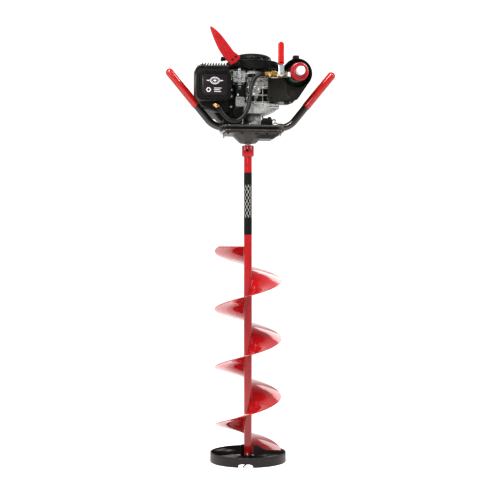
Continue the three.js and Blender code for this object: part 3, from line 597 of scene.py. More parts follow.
def flight(index):
    """One section: a flat strip with a rounded rim, wound about the tube."""
    half = FLIGHT_THICK / 2
    rim = [(FLIGHT_RADIUS - half + half * math.cos(a), half * math.sin(a))
           for a in [math.radians(-90 + 30 * k) for k in range(7)]]
    section = [(SHAFT_RADIUS - 0.5, -half), (45, -half), (80, -half), *rim,
               (80, half), (45, half), (SHAFT_RADIUS - 0.5, half)]
    first = FLIGHT_START + index * FLIGHT_TURN + 0.2
    steps = 120
    verts = []
    for i in range(steps + 1):
        degrees = first + (FLIGHT_TURN - 0.4) * i / steps
        verts += [on_helix(r, degrees, h) for r, h in section]
    count = len(section)
    faces = [tuple(range(count)), tuple(range(steps * count, (steps + 1) * count))]
    for i in range(steps):
        for k in range(count):
            j = (k + 1) % count
            faces.append((i * count + k, i * count + j, (i + 1) * count + j, (i + 1) * count + k))
    obj = from_faces("flighting_%d" % (index + 1), verts, faces)
    piece(obj, "auger", "red_paint", "flight_%d" % (index + 1), angle=40)

    # A weld bead runs along the tube under each section, and a seam joins two sections.
    bead_points = [on_helix(SHAFT_RADIUS + 1.0, first + FLIGHT_TURN * i / 90,
                            -half - 0.9 + 0.25 * math.sin(i * 2.1)) for i in range(91)]
    bead = sweep("weld_bead_%d" % (index + 1), bead_points, 2.1, 12)
    piece(bead, "auger", "red_paint", angle=60)
    if index > 0:
        seam_points = [on_helix(r, first, half - 0.2) for r in range(16, 119, 4)]
        seam = sweep("weld_seam_%d" % index, seam_points, 1.3, 8)
        piece(seam, "auger", "red_paint", angle=60)


DECAL_LOW = 814.0
DECAL_HIGH = 1037.0


def shaft_decal_finish():
    """A black sticker with a lattice of pale diamonds between two plain bands."""
    material = FINISH["black_plastic"].copy()
    material.name = "shaft_decal"
    tree = material.node_tree
    shader = tree.nodes["Principled BSDF"]
    where = tree.nodes.new("ShaderNodeTexCoord")
    apart = tree.nodes.new("ShaderNodeSeparateXYZ")
    tree.links.new(where.outputs["Object"], apart.inputs[0])

    def sums(operation, first, second=None, third=None):
        node = tree.nodes.new("ShaderNodeMath")
        node.operation = operation
        for socket, value in zip(node.inputs, (first, second, third)):
            if isinstance(value, (int, float)):
                socket.default_value = value
            elif value is not None:
                tree.links.new(value, socket)
        return node.outputs[0]

    turn = sums("ARCTAN2", apart.outputs["Y"], apart.outputs["X"])
    around = sums("MULTIPLY", turn, 4 / math.pi)
    along = sums("MULTIPLY", apart.outputs["Z"], 1 / 0.022)
    lattice = []
    for way in (1.0, -1.0):
        slant = sums("MULTIPLY_ADD", around, way, along)
        wave = sums("PINGPONG", slant, 0.5)
        lattice.append(sums("LESS_THAN", wave, 0.06))
    lines = sums("MAXIMUM", lattice[0], lattice[1])
    low = sums("GREATER_THAN", apart.outputs["Z"], (DECAL_LOW + 62) * MM)
    high = sums("LESS_THAN", apart.outputs["Z"], (DECAL_HIGH - 44) * MM)
    inside = sums("MULTIPLY", low, high)
    shown = sums("MULTIPLY", lines, inside)
    mix = tree.nodes.new("ShaderNodeMix")
    mix.data_type = "RGBA"
    tree.links.new(shown, mix.inputs["Factor"])
    base = shader.inputs["Base Color"].links[0].from_socket
    tree.links.new(base, mix.inputs[6])
    mix.inputs[7].default_value = (0.42, 0.40, 0.38, 1)
    tree.links.new(mix.outputs[2], shader.inputs["Base Color"])
    shader.inputs["Coat Weight"].default_value = 0.4
    return material


def auger():
    low, high = span("auger_shaft")[4:]
    tube = lathe("auger_tube", [
        (12.2, low), (SHAFT_RADIUS - 0.8, low), (SHAFT_RADIUS, low + 0.8), (SHAFT_RADIUS, high - 1),
        (SHAFT_RADIUS - 1, high), (12.2, high), (12.2, low)], sides=96)
    piece(tube, "auger", "red_paint", "auger_shaft")
    FINISH["shaft_decal"] = shaft_decal_finish()
    skin = SHAFT_RADIUS + 0.12
    decal = lathe("shaft_decal", [(SHAFT_RADIUS - 0.3, DECAL_LOW), (skin, DECAL_LOW + 0.1),
                                  (skin, DECAL_HIGH - 0.1), (SHAFT_RADIUS - 0.3, DECAL_HIGH)], sides=96)
    piece(decal, "auger", "black_plastic", finish="shaft_decal")
    for index in range(FLIGHT_COUNT):
        flight(index)
    coupler()
    cutter()


def coupler():
    radius = span("coupler")[1]
    low, high = span("coupler")[4:]
    at = span("coupler_screw")
    screw_x, screw_z = (at[0] + at[1]) / 2, (at[4] + at[5]) / 2
    collar = lathe("coupler_collar", [
        (SHAFT_RADIUS + 0.2, low), (radius - 1.6, low), (radius - 0.4, low + 0.5),
        (radius, low + 1.6), (radius, high - 1.6), (radius - 0.4, high - 0.5), (radius - 1.6, high),
        (11.4, high), (11.4, high - 3), (SHAFT_RADIUS + 0.2, high - 3), (SHAFT_RADIUS + 0.2, low)],
        sides=96)
    spot = rod("spot", 6.2, "Y", -40, -radius + 0.9, screw_x, screw_z, 40)
    hole = rod("hole", 4.4, "Y", -40, -15, screw_x, screw_z, 40)
    cut(collar, spot, hole)
    piece(collar, "auger", "red_paint", "coupler")
    head = rod("set_screw", 4.1, "Y", -radius - 0.2, -15.7, screw_x, screw_z, 40, 0.5)
    socket = hexagon("socket", 4.2, "Y", -radius - 4, -18.2, screw_x, screw_z)
    cut(head, socket)
    piece(head, "auger", "dark_screw", "coupler_screw")
    bead = sweep("coupler_weld", [
        ((SHAFT_RADIUS + 0.9) * math.cos(a), (SHAFT_RADIUS + 0.9) * math.sin(a),
         low - 0.6 + 0.2 * math.sin(11 * a)) for a in [math.radians(4 * k) for k in range(91)]], 1.9, 12)
    piece(bead, "auger", "red_paint", angle=60)
    neck = lathe("output_neck", [
        (0, high - 14), (10.9, high - 14), (10.9, high + 3), (9.6, high + 3.6), (9.6, high + 6),
        (10.9, high + 6.6), (10.9, 1190), (0, 1190)], sides=64)
    key_end = rod("shaft_tail", 10.9, "Z", 1068, high - 14, 0, 0, 48, 1.5)
    piece(join("output_stub", neck, key_end), "auger", "steel", "output_shaft")


def cutter():
    piece(refined("cutter_head", 1.2, 3), "auger", "red_paint", "cutter_head", finish="dark_screw")
    for side, name in ((-1, "left"), (1, "right")):
        z0, z1 = span("blade_" + name)[4:]
        inner, outer = (34 * side, 122 * side)
        plan = [(inner, -15 * side), (outer, -21 * side), (outer, 4 * side), (inner, 15 * side)]
        blade = prism("blade", plan, "Z", z0, z1)
        # The leading edge is ground to a wedge.
        edge_from = Vector((inner, -15 * side))
        edge_to = Vector((outer, -21 * side))
        across = Vector((0, 9 * side))
        wedge_plan = [edge_from - across * 0.3, edge_to - across * 0.3, edge_to + across,
                      edge_from + across]
        low_side = [(p.x, p.y, z0 - 1) for p in wedge_plan]
        mid = [(p.x, p.y, z) for p, z in zip(wedge_plan, (z1, z1, z0 - 0.4, z0 - 0.4))]
        wedge = from_faces("wedge", low_side + mid, [
            (0, 1, 2, 3), (4, 5, 6, 7), (0, 1, 5, 4), (1, 2, 6, 5), (2, 3, 7, 6), (3, 0, 4, 7)])
        cut(blade, wedge)
        bevel(blade, 0.25, 2)
        piece(blade, "auger", "steel", "blade_" + name)
        blade.name = "ice_blade_" + name
        heads = [bolt("head", "Z", 1, (side * (48 + 20 * k), 0, 18), 4.6) for k in range(2)]
        piece(join("blade_bolts_" + name, *heads), "auger", "zinc")
    end_bolt = bolt("shaft_bolt", "Y", -1, (-4, -13.6, 27), 4.2)
    piece(end_bolt, "auger", "zinc")


# ---------------------------------------------------------------- blade guard
def arc(radius, start, end, steps):
    return [(radius * math.cos(math.radians(start + (end - start) * k / steps)),
             radius * math.sin(math.radians(start + (end - start) * k / steps)))
            for k in range(steps + 1)]


def quadratic(start, pull, end, steps):
    """Points of a curve from start up to, and without, its end."""
    points = []
    for k in range(steps):
        t = k / steps
        points.append(tuple((1 - t) ** 2 * a + 2 * t * (1 - t) * b + t * t * c
                            for a, b, c in zip(start, pull, end)))
    return points


def strip(name, inner, outer, start, end, z0, z1):
    """An arc-shaped slab between two radii, angles in degrees."""
    steps = max(4, int(abs(end - start) / 3))
    return prism(name, arc(outer, start, end, steps) + arc(inner, end, start, steps), "Z", z0, z1)


def blade_guard():
    """The tray: a ring with a rolled lip, a ribbed part floor, and ledges between the blades."""
    radius, top = span("blade_guard")[1], span("blade_guard")[5]
    tall, floor, reach = 34, 4, radius - 2
    ledge_low, ledge_high = 26, 30
    wall = lathe("wall", [
        (radius - 4, 0), (radius - 1.2, 0), (radius, 1.2), (radius, tall - 5), (radius - 1, tall - 4),
        (radius - 1, tall - 2), (radius, tall - 1), (radius - 0.6, tall), (radius - 3.4, tall),
        (radius - 4, tall - 0.6), (radius - 4, 0)], sides=160)
    parts = [wall, rod("hub", 33, "Z", 0, floor, 0, 0, 64, 0.8),
             strip("hub_wall", 24, 28, 55, 155, 0, 56)]
    for start, end in ((18, 62), (128, 196), (292, 350)):
        parts.append(strip("floor", 30, reach, start, end, 0, floor))
        parts.append(strip("rib", 44, 46.5, start + 1, end - 1, floor, floor + 3))
        parts.append(strip("rib", 118, 120.5, start + 1, end - 1, floor, floor + 3))
    for start, end in ((27, 60), (128, 154), (300, 342)):
        parts.append(strip("ledge", 60, reach, start, end, ledge_low, ledge_high))
        parts.append(strip("ledge_rib", 66, 68.5, start + 2, end - 2, ledge_high, ledge_high + 2))
        parts.append(strip("ledge_rib", 96, 98.5, start + 2, end - 2, ledge_high, ledge_high + 2))
    parts.append(strip("ledge", 60, 114, 206, 238, ledge_low, ledge_high))
    for start in (206, 235):
        parts.append(strip("ledge_arm", 110, reach, start, start + 3, ledge_low, ledge_high))
    # The front right ledge ends in a wall that climbs towards the hub.
    crest = top - 18
    parts.append(prism("screen", [(58, -18.9), (58, -22), (128, -44.7), (128, -41.6)], "Z",
                       ledge_low + 1, crest))
    parts.append(prism("climb", [(25, 0), (62, 0), (62, crest), (47, crest + 6), (33, top), (17, top),
                                 (17, 24), (25, 20)],
                       "Y", -23.2, -20.2))
    for reach_out, tall_rib in ((76, 8), (94, 7), (112, 6)):
        x, y = reach_out * 0.951, -reach_out * 0.309
        parts.append(block("buttress", x - 1.2, x + 1.2, y - 14, y - 1, ledge_high, ledge_high + tall_rib))
    body = join("guard_tray", *parts)
    notch = prism("notch", rounded([(-58, -1), (-53, 9), (-42, 12.4), (-14, 12.4), (-3, 9), (2, -1)],
                                   [0, 3, 3, 3, 3, 0]), "Y", -radius - 5, -radius + 14)
    slot = strip("slot", 58, 112, 138, 158, -1, floor + 4)
    cut(body, notch, slot, crossing=True)
    bevel(body, 0.5, 2, 40)
    piece(body, "blade_guard", "guard_plastic", "blade_guard")
    hook = sweep("guard_hook", [(-24, -radius + 4, 18), (-26, -radius + 2.4, 12),
                                (-31, -radius + 3, 8), (-35, -radius + 5, 5)], 2.0, 12)
    piece(hook, "blade_guard", "black_plastic")


# ---------------------------------------------------------------- gearcase
PLATE_HIGH = 1202.0
CRANK_X = 20.0
CRANK_Y = 30.0


def octagon(across, z):
    """Eight corners round the auger's axis, with flat sides at a distance of across."""
    corner = math.radians(22.5)
    radius = across / math.cos(corner)
    return [(radius * math.cos(corner * (2 * k + 1)), radius * math.sin(corner * (2 * k + 1)), z)
            for k in range(8)]


def gearcase():
    x0, x1, y0, y1, low, high = span("gearcase_tub")
    # The funnel has eight soft sides.
    rings = octagon(27.5, low) + octagon(30.5, low + 3) + octagon(57, 1172) + octagon(59, high)
    faces = [tuple(range(8)), tuple(range(24, 32))]
    for ring in range(3):
        for k in range(8):
            j = (k + 1) % 8
            faces.append((ring * 8 + k, ring * 8 + j, ring * 8 + 8 + j, ring * 8 + 8 + k))
    funnel = from_faces("funnel", rings, faces)
    bevel(funnel, 3, 3, 20)
    wing = prism("wing", [(20, 1156), (87, 1156), (x1 - 1, high - 1), (x1 - 1, high), (20, high)],
                 "Y", -42, 42)
    bevel(wing, 4, 3)
    flange = prism("flange", rectangle(x0, x1, y0, y1, 26, 10), "Z", 1173, high)
    bevel(flange, 1.5, 3)
    seal = rod("seal", 20, "Z", low, low + 4, 0, 0, 64)
    skin = cast("tub", 1.4, 3, funnel, wing, flange, seal)
    bores = [rod("bore", 12, "Z", 1130, 1160, 0, 0, 48), rod("well", 50, "Z", 1171, 1200, 0, 0, 48),
             rod("relief", 17, "Z", low - 2, low + 1.6, 0, 0, 48)]
    cut(skin, *bores)
    skin.name = "gearcase_lower"
    piece(skin, "power_head", "gearcase_paint", "gearcase_tub", angle=40)

    ribs = []
    for across in (-30, 0, 30):
        ribs.append(prism("rib", [(40, 1158), (90, 1158), (112, 1174), (40, 1174)],
                          "Y", across - 1.5, across + 1.5))
    web = join("gearcase_ribs", *ribs)
    bevel(web, 0.6, 2)
    piece(web, "power_head", "gearcase_paint")

    plate()


def plate():
    y0, y1, z0 = span("mounting_plate")[2:5]
    z1 = PLATE_HIGH
    lower = prism("lower", rectangle(-96, 116, -72, 72, 28, 10), "Z", z0, z0 + 5)
    core = prism("core", rectangle(-92, 110, -66, 66, 24, 10), "Z", z0 + 4, z1 - 4)
    upper = prism("upper", rectangle(-100, 118, y0, y1, 30, 10), "Z", z1 - 5, z1)
    sockets = []
    for side in (-1, 1):
        mid = BAR_MIDDLE + side * 105
        sockets.append(rod("sleeve", BAR_RADIUS + 3.5, "X", mid - 11, mid + 11, 0, BAR_HEIGHT, 64, 1.2))
        half = BAR_RADIUS + 3.5
        sockets.append(block("foot", mid - 11, mid + 11, -half, half, z0 + 2, z1 - 2))
    body = join("mounting_plate_casting", lower, core, upper, *sockets)
    # A black band round the core, between the two lips: painted shade that darkens the groove.
    seam = prism("seam", rectangle(-93, 111, -67.2, 67.2, 25, 10), "Z", z0 + 6, z1 - 6.5)
    cut(seam, rod("bore", 13.5, "Z", z0, z1, CRANK_X, CRANK_Y, 48))
    piece(seam, "power_head", "black_plastic")
    tools = [rod("bore", 13, "Z", z0 - 1, z1 + 1, CRANK_X, CRANK_Y, 48),
             rod("well", 50, "Z", z0 - 1, z0 + 3, 0, 0, 48)]
    for side in (-1, 1):
        tools.append(sweep("bar_bore", bar_path(side, 24), BAR_RADIUS + 0.3, 32))
    cut(body, *tools, crossing=True)
    bevel(body, 1.8, 4, 40)
    # The plate takes the lighter paint: painted highlight on its lips.
    piece(body, "power_head", "gearcase_paint", "mounting_plate", finish="plate_paint_and_highlight")

    heads = []
    for x in (-80, -30, 20, 60, 98):
        for y in (-68, 68):
            heads.append(bolt("flange_bolt", "Z", -1, (x, y, 1173), 4.2))
    piece(join("gearcase_bolts", *heads), "power_head", "dark_screw")
    engine_bolts = [bolt("engine_bolt", "Z", 1, (x, y, z1), 4.8)
                    for x, y in ((-26, -22), (66, -16), (-26, 66), (66, 66))]
    piece(join("engine_bolts", *engine_bolts), "power_head", "zinc")
    # A dark gasket shows as a line between the two halves.
    gasket = prism("gearcase_gasket", rectangle(-87, 117, -71, 71, 26, 10), "Z", z0 - 0.6, z0 + 0.1)
    piece(gasket, "power_head", "black_plastic")


# ---------------------------------------------------------------- handlebars
BAR_MIDDLE = 12.5
BAR_HEIGHT = 1200.0
BAR_RADIUS = 13.0
BAR_BEND = 69.0
BAR_START = 101.0
BAR_LEAD = 2.3
BAR_ANGLE = math.radians(50.6)
GRIP_RADIUS = 14.6
GRIP_FROM = 64.5
GRIP_LENGTH = 166.0


def bar_point(side, run):
    """The centreline's point and direction after so much run along it."""
    arc_length = BAR_BEND * BAR_ANGLE
    bend = min(max((run - BAR_LEAD) / BAR_BEND, 0), BAR_ANGLE)
    after = max(run - BAR_LEAD - arc_length, 0)
    along = BAR_START + min(run, BAR_LEAD) + BAR_BEND * math.sin(bend) + after * math.cos(BAR_ANGLE)
    up = BAR_BEND * (1 - math.cos(bend)) + after * math.sin(BAR_ANGLE)
    place = Vector((BAR_MIDDLE + side * along, 0, BAR_HEIGHT + up))
    return place, Vector((side * math.cos(bend), 0, math.sin(bend)))


def bar_path(side, steps):
    total = BAR_LEAD + BAR_BEND * BAR_ANGLE + GRIP_FROM - 12 + GRIP_LENGTH
    return [bar_point(side, total * k / steps)[0] for k in range(steps + 1)]


def handlebars():
    for side, name in ((-1, "left"), (1, "right")):
        tube = sweep("bar_tube_" + name, bar_path(side, 90), BAR_RADIUS, 48)
        piece(tube, "power_head", "bar_paint", "handlebar_" + name, angle=50)
        run = BAR_LEAD + BAR_BEND * BAR_ANGLE + GRIP_FROM
        start, way = bar_point(side, run)
        end = GRIP_LENGTH
        ring = [(BAR_RADIUS + 0.05, 0), (GRIP_RADIUS - 0.9, 0), (GRIP_RADIUS - 0.15, 0.5),
                (GRIP_RADIUS, 1.4), (GRIP_RADIUS, 4.5), (GRIP_RADIUS - 0.35, 5.4),
                (GRIP_RADIUS - 0.35, 7), (GRIP_RADIUS, 8), (GRIP_RADIUS, end - GRIP_RADIUS)]
        ring += [(GRIP_RADIUS * math.cos(a), end - GRIP_RADIUS + GRIP_RADIUS * math.sin(a))
                 for a in [math.radians(10 * k) for k in range(1, 9)]]
        ring.append((0, end))
        sleeve = lathe("grip_sleeve_" + name, ring, "Z", (0, 0, 0), 72)
        aim(sleeve, start, way)
        piece(sleeve, "power_head", "red_vinyl", "grip_" + name, angle=50)
    tie()


def tie():
    """The cable tie round the right handlebar, its tail hanging down."""
    centre, way = bar_point(1, 6)
    side = Vector((0, 1, 0))
    up = way.cross(side)
    points = [centre + (side * math.cos(a) + up * math.sin(a)) * (BAR_RADIUS + 0.7)
              for a in [math.radians(10 * k) for k in range(37)]]
    band = sweep("cable_tie", points, 1.4, 10)
    foot = centre + Vector((0, -6, -BAR_RADIUS + 1))
    tail = sweep("cable_tie_tail", [foot, foot + Vector((2, -5, -4)), foot + Vector((0, -7, -9)),
                                    foot + Vector((-3, -8, -16)), foot + Vector((-5, -8, -21))], 1.1, 8)
    piece(join("cable_tie_band", band, tail), "power_head", "black_plastic", angle=60)


# ---------------------------------------------------------------- engine
def about_crank(obj, angle):
    """Moves a shape made at the origin to the crankshaft's axis, turned about it."""
    obj.data.transform(Matrix.Translation(Vector((CRANK_X, CRANK_Y, 0)) * MM)
                       @ Matrix.Rotation(angle, 4, "Z"))


def engine_base():
    neck_low, neck_high = span("clutch_housing")[4:]
    neck = lathe("neck", [
        (29, neck_low), (45.5, neck_low), (46, neck_low + 0.6), (46, neck_low + 4), (44, neck_low + 5.5),
        (37.5, neck_low + 12), (34.5, neck_low + 19), (33.5, neck_low + 28), (33, neck_high),
        (29, neck_high), (29, neck_low)], "Z", (CRANK_X, CRANK_Y, 0), 96)
    parts = [neck]
    for k in range(8):
        turn = math.radians(22.5 + 45 * k)
        gusset = prism("gusset", [(33, neck_low + 24), (33, neck_low), (45, neck_low), (45, neck_low + 5)],
                       "Y", -1.7, 1.7)
        about_crank(gusset, turn)
        parts.append(gusset)
    body = join("clutch_bell", *parts)
    bevel(body, 0.6, 2, 40)
    piece(body, "power_head", "casting", "clutch_housing")

    x0, x1 = span("oil_sump")[:2]
    y1, high = span("oil_sump")[3], span("oil_sump")[5]
    profile = rounded([(x0, high), (x0, 1262), (-40, 1247), (66, 1247), (x1, 1266), (x1, high)],
                      [0, 6, 8, 10, 4, 0])
    pan = prism("pan", profile, "Y", -32, y1)
    ribs = []
    for height in (1272, 1277.5):
        ribs.append(block("rib", 40, x1, -34, -31, height - 1, height + 1))
    for across in (-24, -4, 20, 44, 64):
        ribs.append(prism("rib", [(x0, 1284), (x0, 1262), (-40, 1247.2), (-30, 1247.2), (-46, 1266)],
                          "Y", across, across + 3))
    rim = block("rim", x0, x1, -35, y1, high - 6, high)
    filler = rod("filler", 14, "Y", -48, -31, -44, 1248, 48, 1)
    skin = cast("sump", 1.5, 3, pan, rim, filler, *ribs)
    bores = [rod("bore", 12, "Z", 1240, 1300, CRANK_X, CRANK_Y, 48),
             rod("filler_bore", 9, "Y", -60, -20, -44, 1255.5, 32)]
    cut(skin, *bores)
    skin.name = "engine_sump"
    piece(skin, "power_head", "casting", "oil_sump", angle=50)

    cap_x, cap_z = -44, 1246
    ring = [(0, -63), (9, -63), (10, -62), (16, -62), (18.4, -60.5), (19, -58), (19, -50.5),
            (17.5, -49), (15, -48.4), (0, -48.4)]
    cap = lathe("cap", ring, "Y", (cap_x, 0, cap_z), 64)
    wing = prism("wing", rectangle(cap_x - 13, cap_x + 13, cap_z - 3, cap_z + 3, 2.6), "Y", -64, -59)
    bevel(wing, 0.8, 2)
    knurls = [rod("knurl", 1.2, "Y", -59, -50.5, cap_x + 18.4 * math.cos(a), cap_z + 18.4 * math.sin(a), 8)
              for a in [math.radians(15 * k) for k in range(24)]]
    piece(join("oil_filler_cap", cap, wing, *knurls), "power_head", "black_plastic", "oil_cap")

    screws = [bolt("sump_bolt", "Y", -1, (x, -34.5, 1280), 3.6) for x in (-48, 0, 50, 96)]
    piece(join("sump_bolts", *screws), "power_head", "zinc")


def crankcase():
    x0, x1, y0, y1, low, high = span("crankcase")
    shell = prism("shell", rectangle(x0, x1, y0 + 4, y1, 15, 8), "Z", low, high)
    parts = [shell]
    for height in (low + 4, low + 30, low + 56, high - 6):
        parts.append(prism("band", rectangle(x0, x1, y0, y1, 15, 8), "Z", height - 3, height + 3))
    for x in (x0 + 14, x0 + 38, x1 - 34, x1 - 12):
        parts.append(block("rib", x - 1.8, x + 1.8, y0 + 1, y1 - 6, low + 2, high - 4))
    for x, z in ((x0 + 10, high - 16), (x0 + 10, low + 16), (x1 - 12, high - 16), (x1 - 12, low + 18),
                 (x0 + 52, low + 44)):
        parts.append(rod("boss", 7, "Y", y0, y1 - 8, x, z, 32))
    window = rod("window", 15, "Y", y0 + 0.5, y0 + 20, x0 + 56, high - 30, 48)
    parts.append(window)
    skin = cast("crankcase_skin", 1.5, 3, *parts)
    bores = [rod("bore", 11, "Z", high - 20, high + 5, CRANK_X, CRANK_Y, 48),
             rod("recess", 10, "Y", y0 - 4, y0 + 5, x0 + 56, high - 30, 40),
             rod("spigot", 25.3, "X", -30, 10, CRANK_Y, 1338, 64)]
    for x, z in ((x0 + 10, high - 16), (x1 - 12, high - 16), (x0 + 10, low + 16), (x1 - 12, low + 18)):
        bores.append(rod("hole", 3.2, "Y", y0 - 4, y0 + 12, x, z, 20))
    cut(skin, *bores)
    skin.name = "crankcase_casting"
    piece(skin, "power_head", "casting", "crankcase", angle=50)
    # Black sheets in the recesses between the ribs: painted shade, dark patches standing in for the shade
    # deep in the pockets.
    shade_sheets = [
        prism("pocket", rounded([(x0 + 41, low + 8), (x1 - 8, low + 4), (x1 - 6, low + 48),
                                 (x0 + 60, low + 56), (x0 + 52, low + 34)], 3), "Y", y0 + 2.4, y0 + 5),
        prism("pocket", rounded([(x0 + 14, low + 5), (x0 + 38, low + 5), (x0 + 36, low + 24),
                                 (x0 + 24, low + 34), (x0 + 14, low + 26)], 5), "Y", y0 + 2.4, y0 + 5),
        prism("pocket", rounded([(x1 - 20, high - 6), (x1 - 3, high - 8), (x1 - 3, high - 46),
                                 (x1 - 12, high - 30)], 2), "Y", y0 + 2.4, y0 + 5),
    ]
    dark = join("crankcase_painted_shade", *shade_sheets)
    bevel(dark, 0.5, 2)
    piece(dark, "power_head", "black_plastic")
    heads = [bolt("case_bolt", "Y", -1, (x, y0 + 3, z), 4.2)
             for x, z in ((x0 + 10, high - 16), (x1 - 12, low + 18), (x0 + 10, low + 16))]
    piece(join("crankcase_bolts", *heads), "power_head", "zinc")


def mixer():
    throat = prism("throat", rectangle(-62, -18, 1352, 1392, 5), "Y", -66, -34)
    flange = prism("flange", rounded([(-66, 1372), (-58, 1346), (-22, 1346), (-14, 1372),
                                      (-22, 1398), (-58, 1398)], 6), "Y", -36, -32)
    bowl = rod("bowl", 13, "Z", 1328, 1354, -38, -48, 48, 2)
    stem = rod("stem", 8, "Z", 1300, 1330, -36, -47, 32)
    low_block = prism("low_block", rectangle(-52, -20, 1267, 1302, 4), "Y", -62, -34)
    side_boss = rod("side_boss", 9, "X", -66, -60, -50, 1372, 40)
    face = rod("face", 11, "Y", -66, -60, -44, 1372, 48)
    skin = cast("mixer_skin", 1.1, 2, throat, flange, bowl, stem, low_block, side_boss, face)
    bores = [rod("bore", 7, "X", -70, -24, -50, 1372, 40),
             rod("pocket", 8, "Y", -70, -62.5, -44, 1372, 40),
             block("pocket", -34, -22, -70, -63.5, 1356, 1388),
             block("pocket", -48, -24, -66, -60, 1274, 1296)]
    cut(skin, *bores)
    skin.name = "mixer_casting"
    piece(skin, "power_head", "casting", "gas_mixer", finish="casting_grey", angle=50)
    dome = lathe("dome", [(0, 1391), (13, 1391), (14, 1392.5), (13.4, 1397), (10, 1401.5), (5, 1403.6),
                          (0, 1404)], "Z", (-22, -44, 0), 64)
    piece(dome, "power_head", "black_plastic")
    plate_back = prism("plate_back", rounded([(-76, 1258), (-57, 1258), (-57, 1296), (-63, 1304),
                                              (-63, 1388), (-76, 1388)], 4), "Y", -42, -38)
    bevel(plate_back, 1, 2)
    piece(plate_back, "power_head", "black_plastic")
    bright = [bolt("bracket_bolt", "Y", -1, (x, -42, z), 4.6)
              for x, z in ((-69, 1370), (-69, 1342), (-66, 1268))]
    bright.append(bolt("bracket_bolt", "Y", -1, (-44, -60, 1309), 4.0))
    piece(join("bracket_bolts", *bright), "power_head", "zinc", finish="knob_zinc")
    ribs = [prism("rib", rectangle(-54, -15, -62, -38, 4), "Z", z, z + 4.6)
            for z in (1307, 1315, 1323, 1331, 1339)]
    core = prism("core", rectangle(-51, -18, -59, -40, 4), "Z", 1304, 1345)
    insulator = join("mixer_insulator", core, *ribs)
    bevel(insulator, 0.9, 2)
    piece(insulator, "power_head", "black_plastic")
    heads = [screw("mixer_screw", "Y", -1, (-44, -62.4, 1372), 4.4),
             screw("mixer_screw", "Y", -1, (-28, -63.2, 1378), 2.6),
             screw("mixer_screw", "Y", -1, (-28, -63.2, 1364), 2.6),
             screw("mixer_screw", "Y", -1, (-36, -60, 1285), 4.0),
             bolt("mixer_nut", "Z", 1, (-30, -50, 1391), 4.5)]
    piece(join("mixer_screws", *heads), "power_head", "zinc")
    lever = prism("lever", rounded([(-44, 1366), (-34, 1366), (-34, 1402), (-44, 1402)], 4.5),
                  "Y", -70, -66.4)
    hub = rod("hub", 7, "Y", -73, -66.4, -39, 1374, 32, 0.6)
    whole = join("throttle_arm", lever, hub)
    cut(whole, rod("eye", 1.8, "Y", -80, -60, -39, 1396, 20),
        rod("eye2", 2, "Y", -80, -71, -39, 1374, 20), crossing=True)
    bevel(whole, 0.5, 2)
    piece(whole, "throttle", "zinc", "throttle_lever")


def engine_internals():
    """Black heat shield ribs and brackets in the gap between the mixer and the crankcase."""
    ribs = []
    for k in range(6):
        height = 1303 + 8 * k
        ribs.append(prism("rib", rectangle(-73, -14, -30, -14, 4), "Z", height, height + 3.4))
    back = block("back", -66, -18, -18, -14, 1300, 1350)
    body = join("heat_baffle", back, *ribs)
    bevel(body, 0.6, 2)
    piece(body, "power_head", "black_plastic")
    guide = prism("guide", rounded([(-124, 1248), (-108, 1227), (-98, 1220), (-78, 1218), (-74, 1206),
                                    (-30, 1206), (-22, 1216), (-22, 1300), (-76, 1300), (-124, 1290)],
                                   [8, 8, 4, 1, 6, 6, 4, 3, 3, 6]), "Y", -24, 60)
    bevel(guide, 2, 3)
    lip = prism("lip", rectangle(-96, -29, 1203, 1227, 4), "Y", -58, -25)
    bevel(lip, 2, 3)
    stripes = [block("stripe", -92 + 9 * k, -88 + 9 * k, -59, -57, 1206, 1224) for k in range(7)]
    piece(join("lower_air_guide", guide, lip, *stripes), "power_head", "black_plastic")
    backplate = prism("mixer_backplate", rectangle(-78, -20, 1228, 1300, 6), "Y", -40, -25)
    bevel(backplate, 2, 3)
    piece(backplate, "power_head", "black_plastic")
    pipe = sweep("breather_pipe", [(-24, -20, 1392), (-16, -24, 1398), (0, -26, 1400), (16, -26, 1398),
                                   (26, -24, 1390), (30, -20, 1380)], 4.2, 20)
    piece(pipe, "power_head", "casting")
    rail = prism("bright_bracket", rounded([(-18, 1386), (40, 1392), (40, 1397), (-18, 1394)], 1.5),
                 "Y", -34, -30)
    bevel(rail, 0.6, 2)
    piece(rail, "power_head", "zinc")


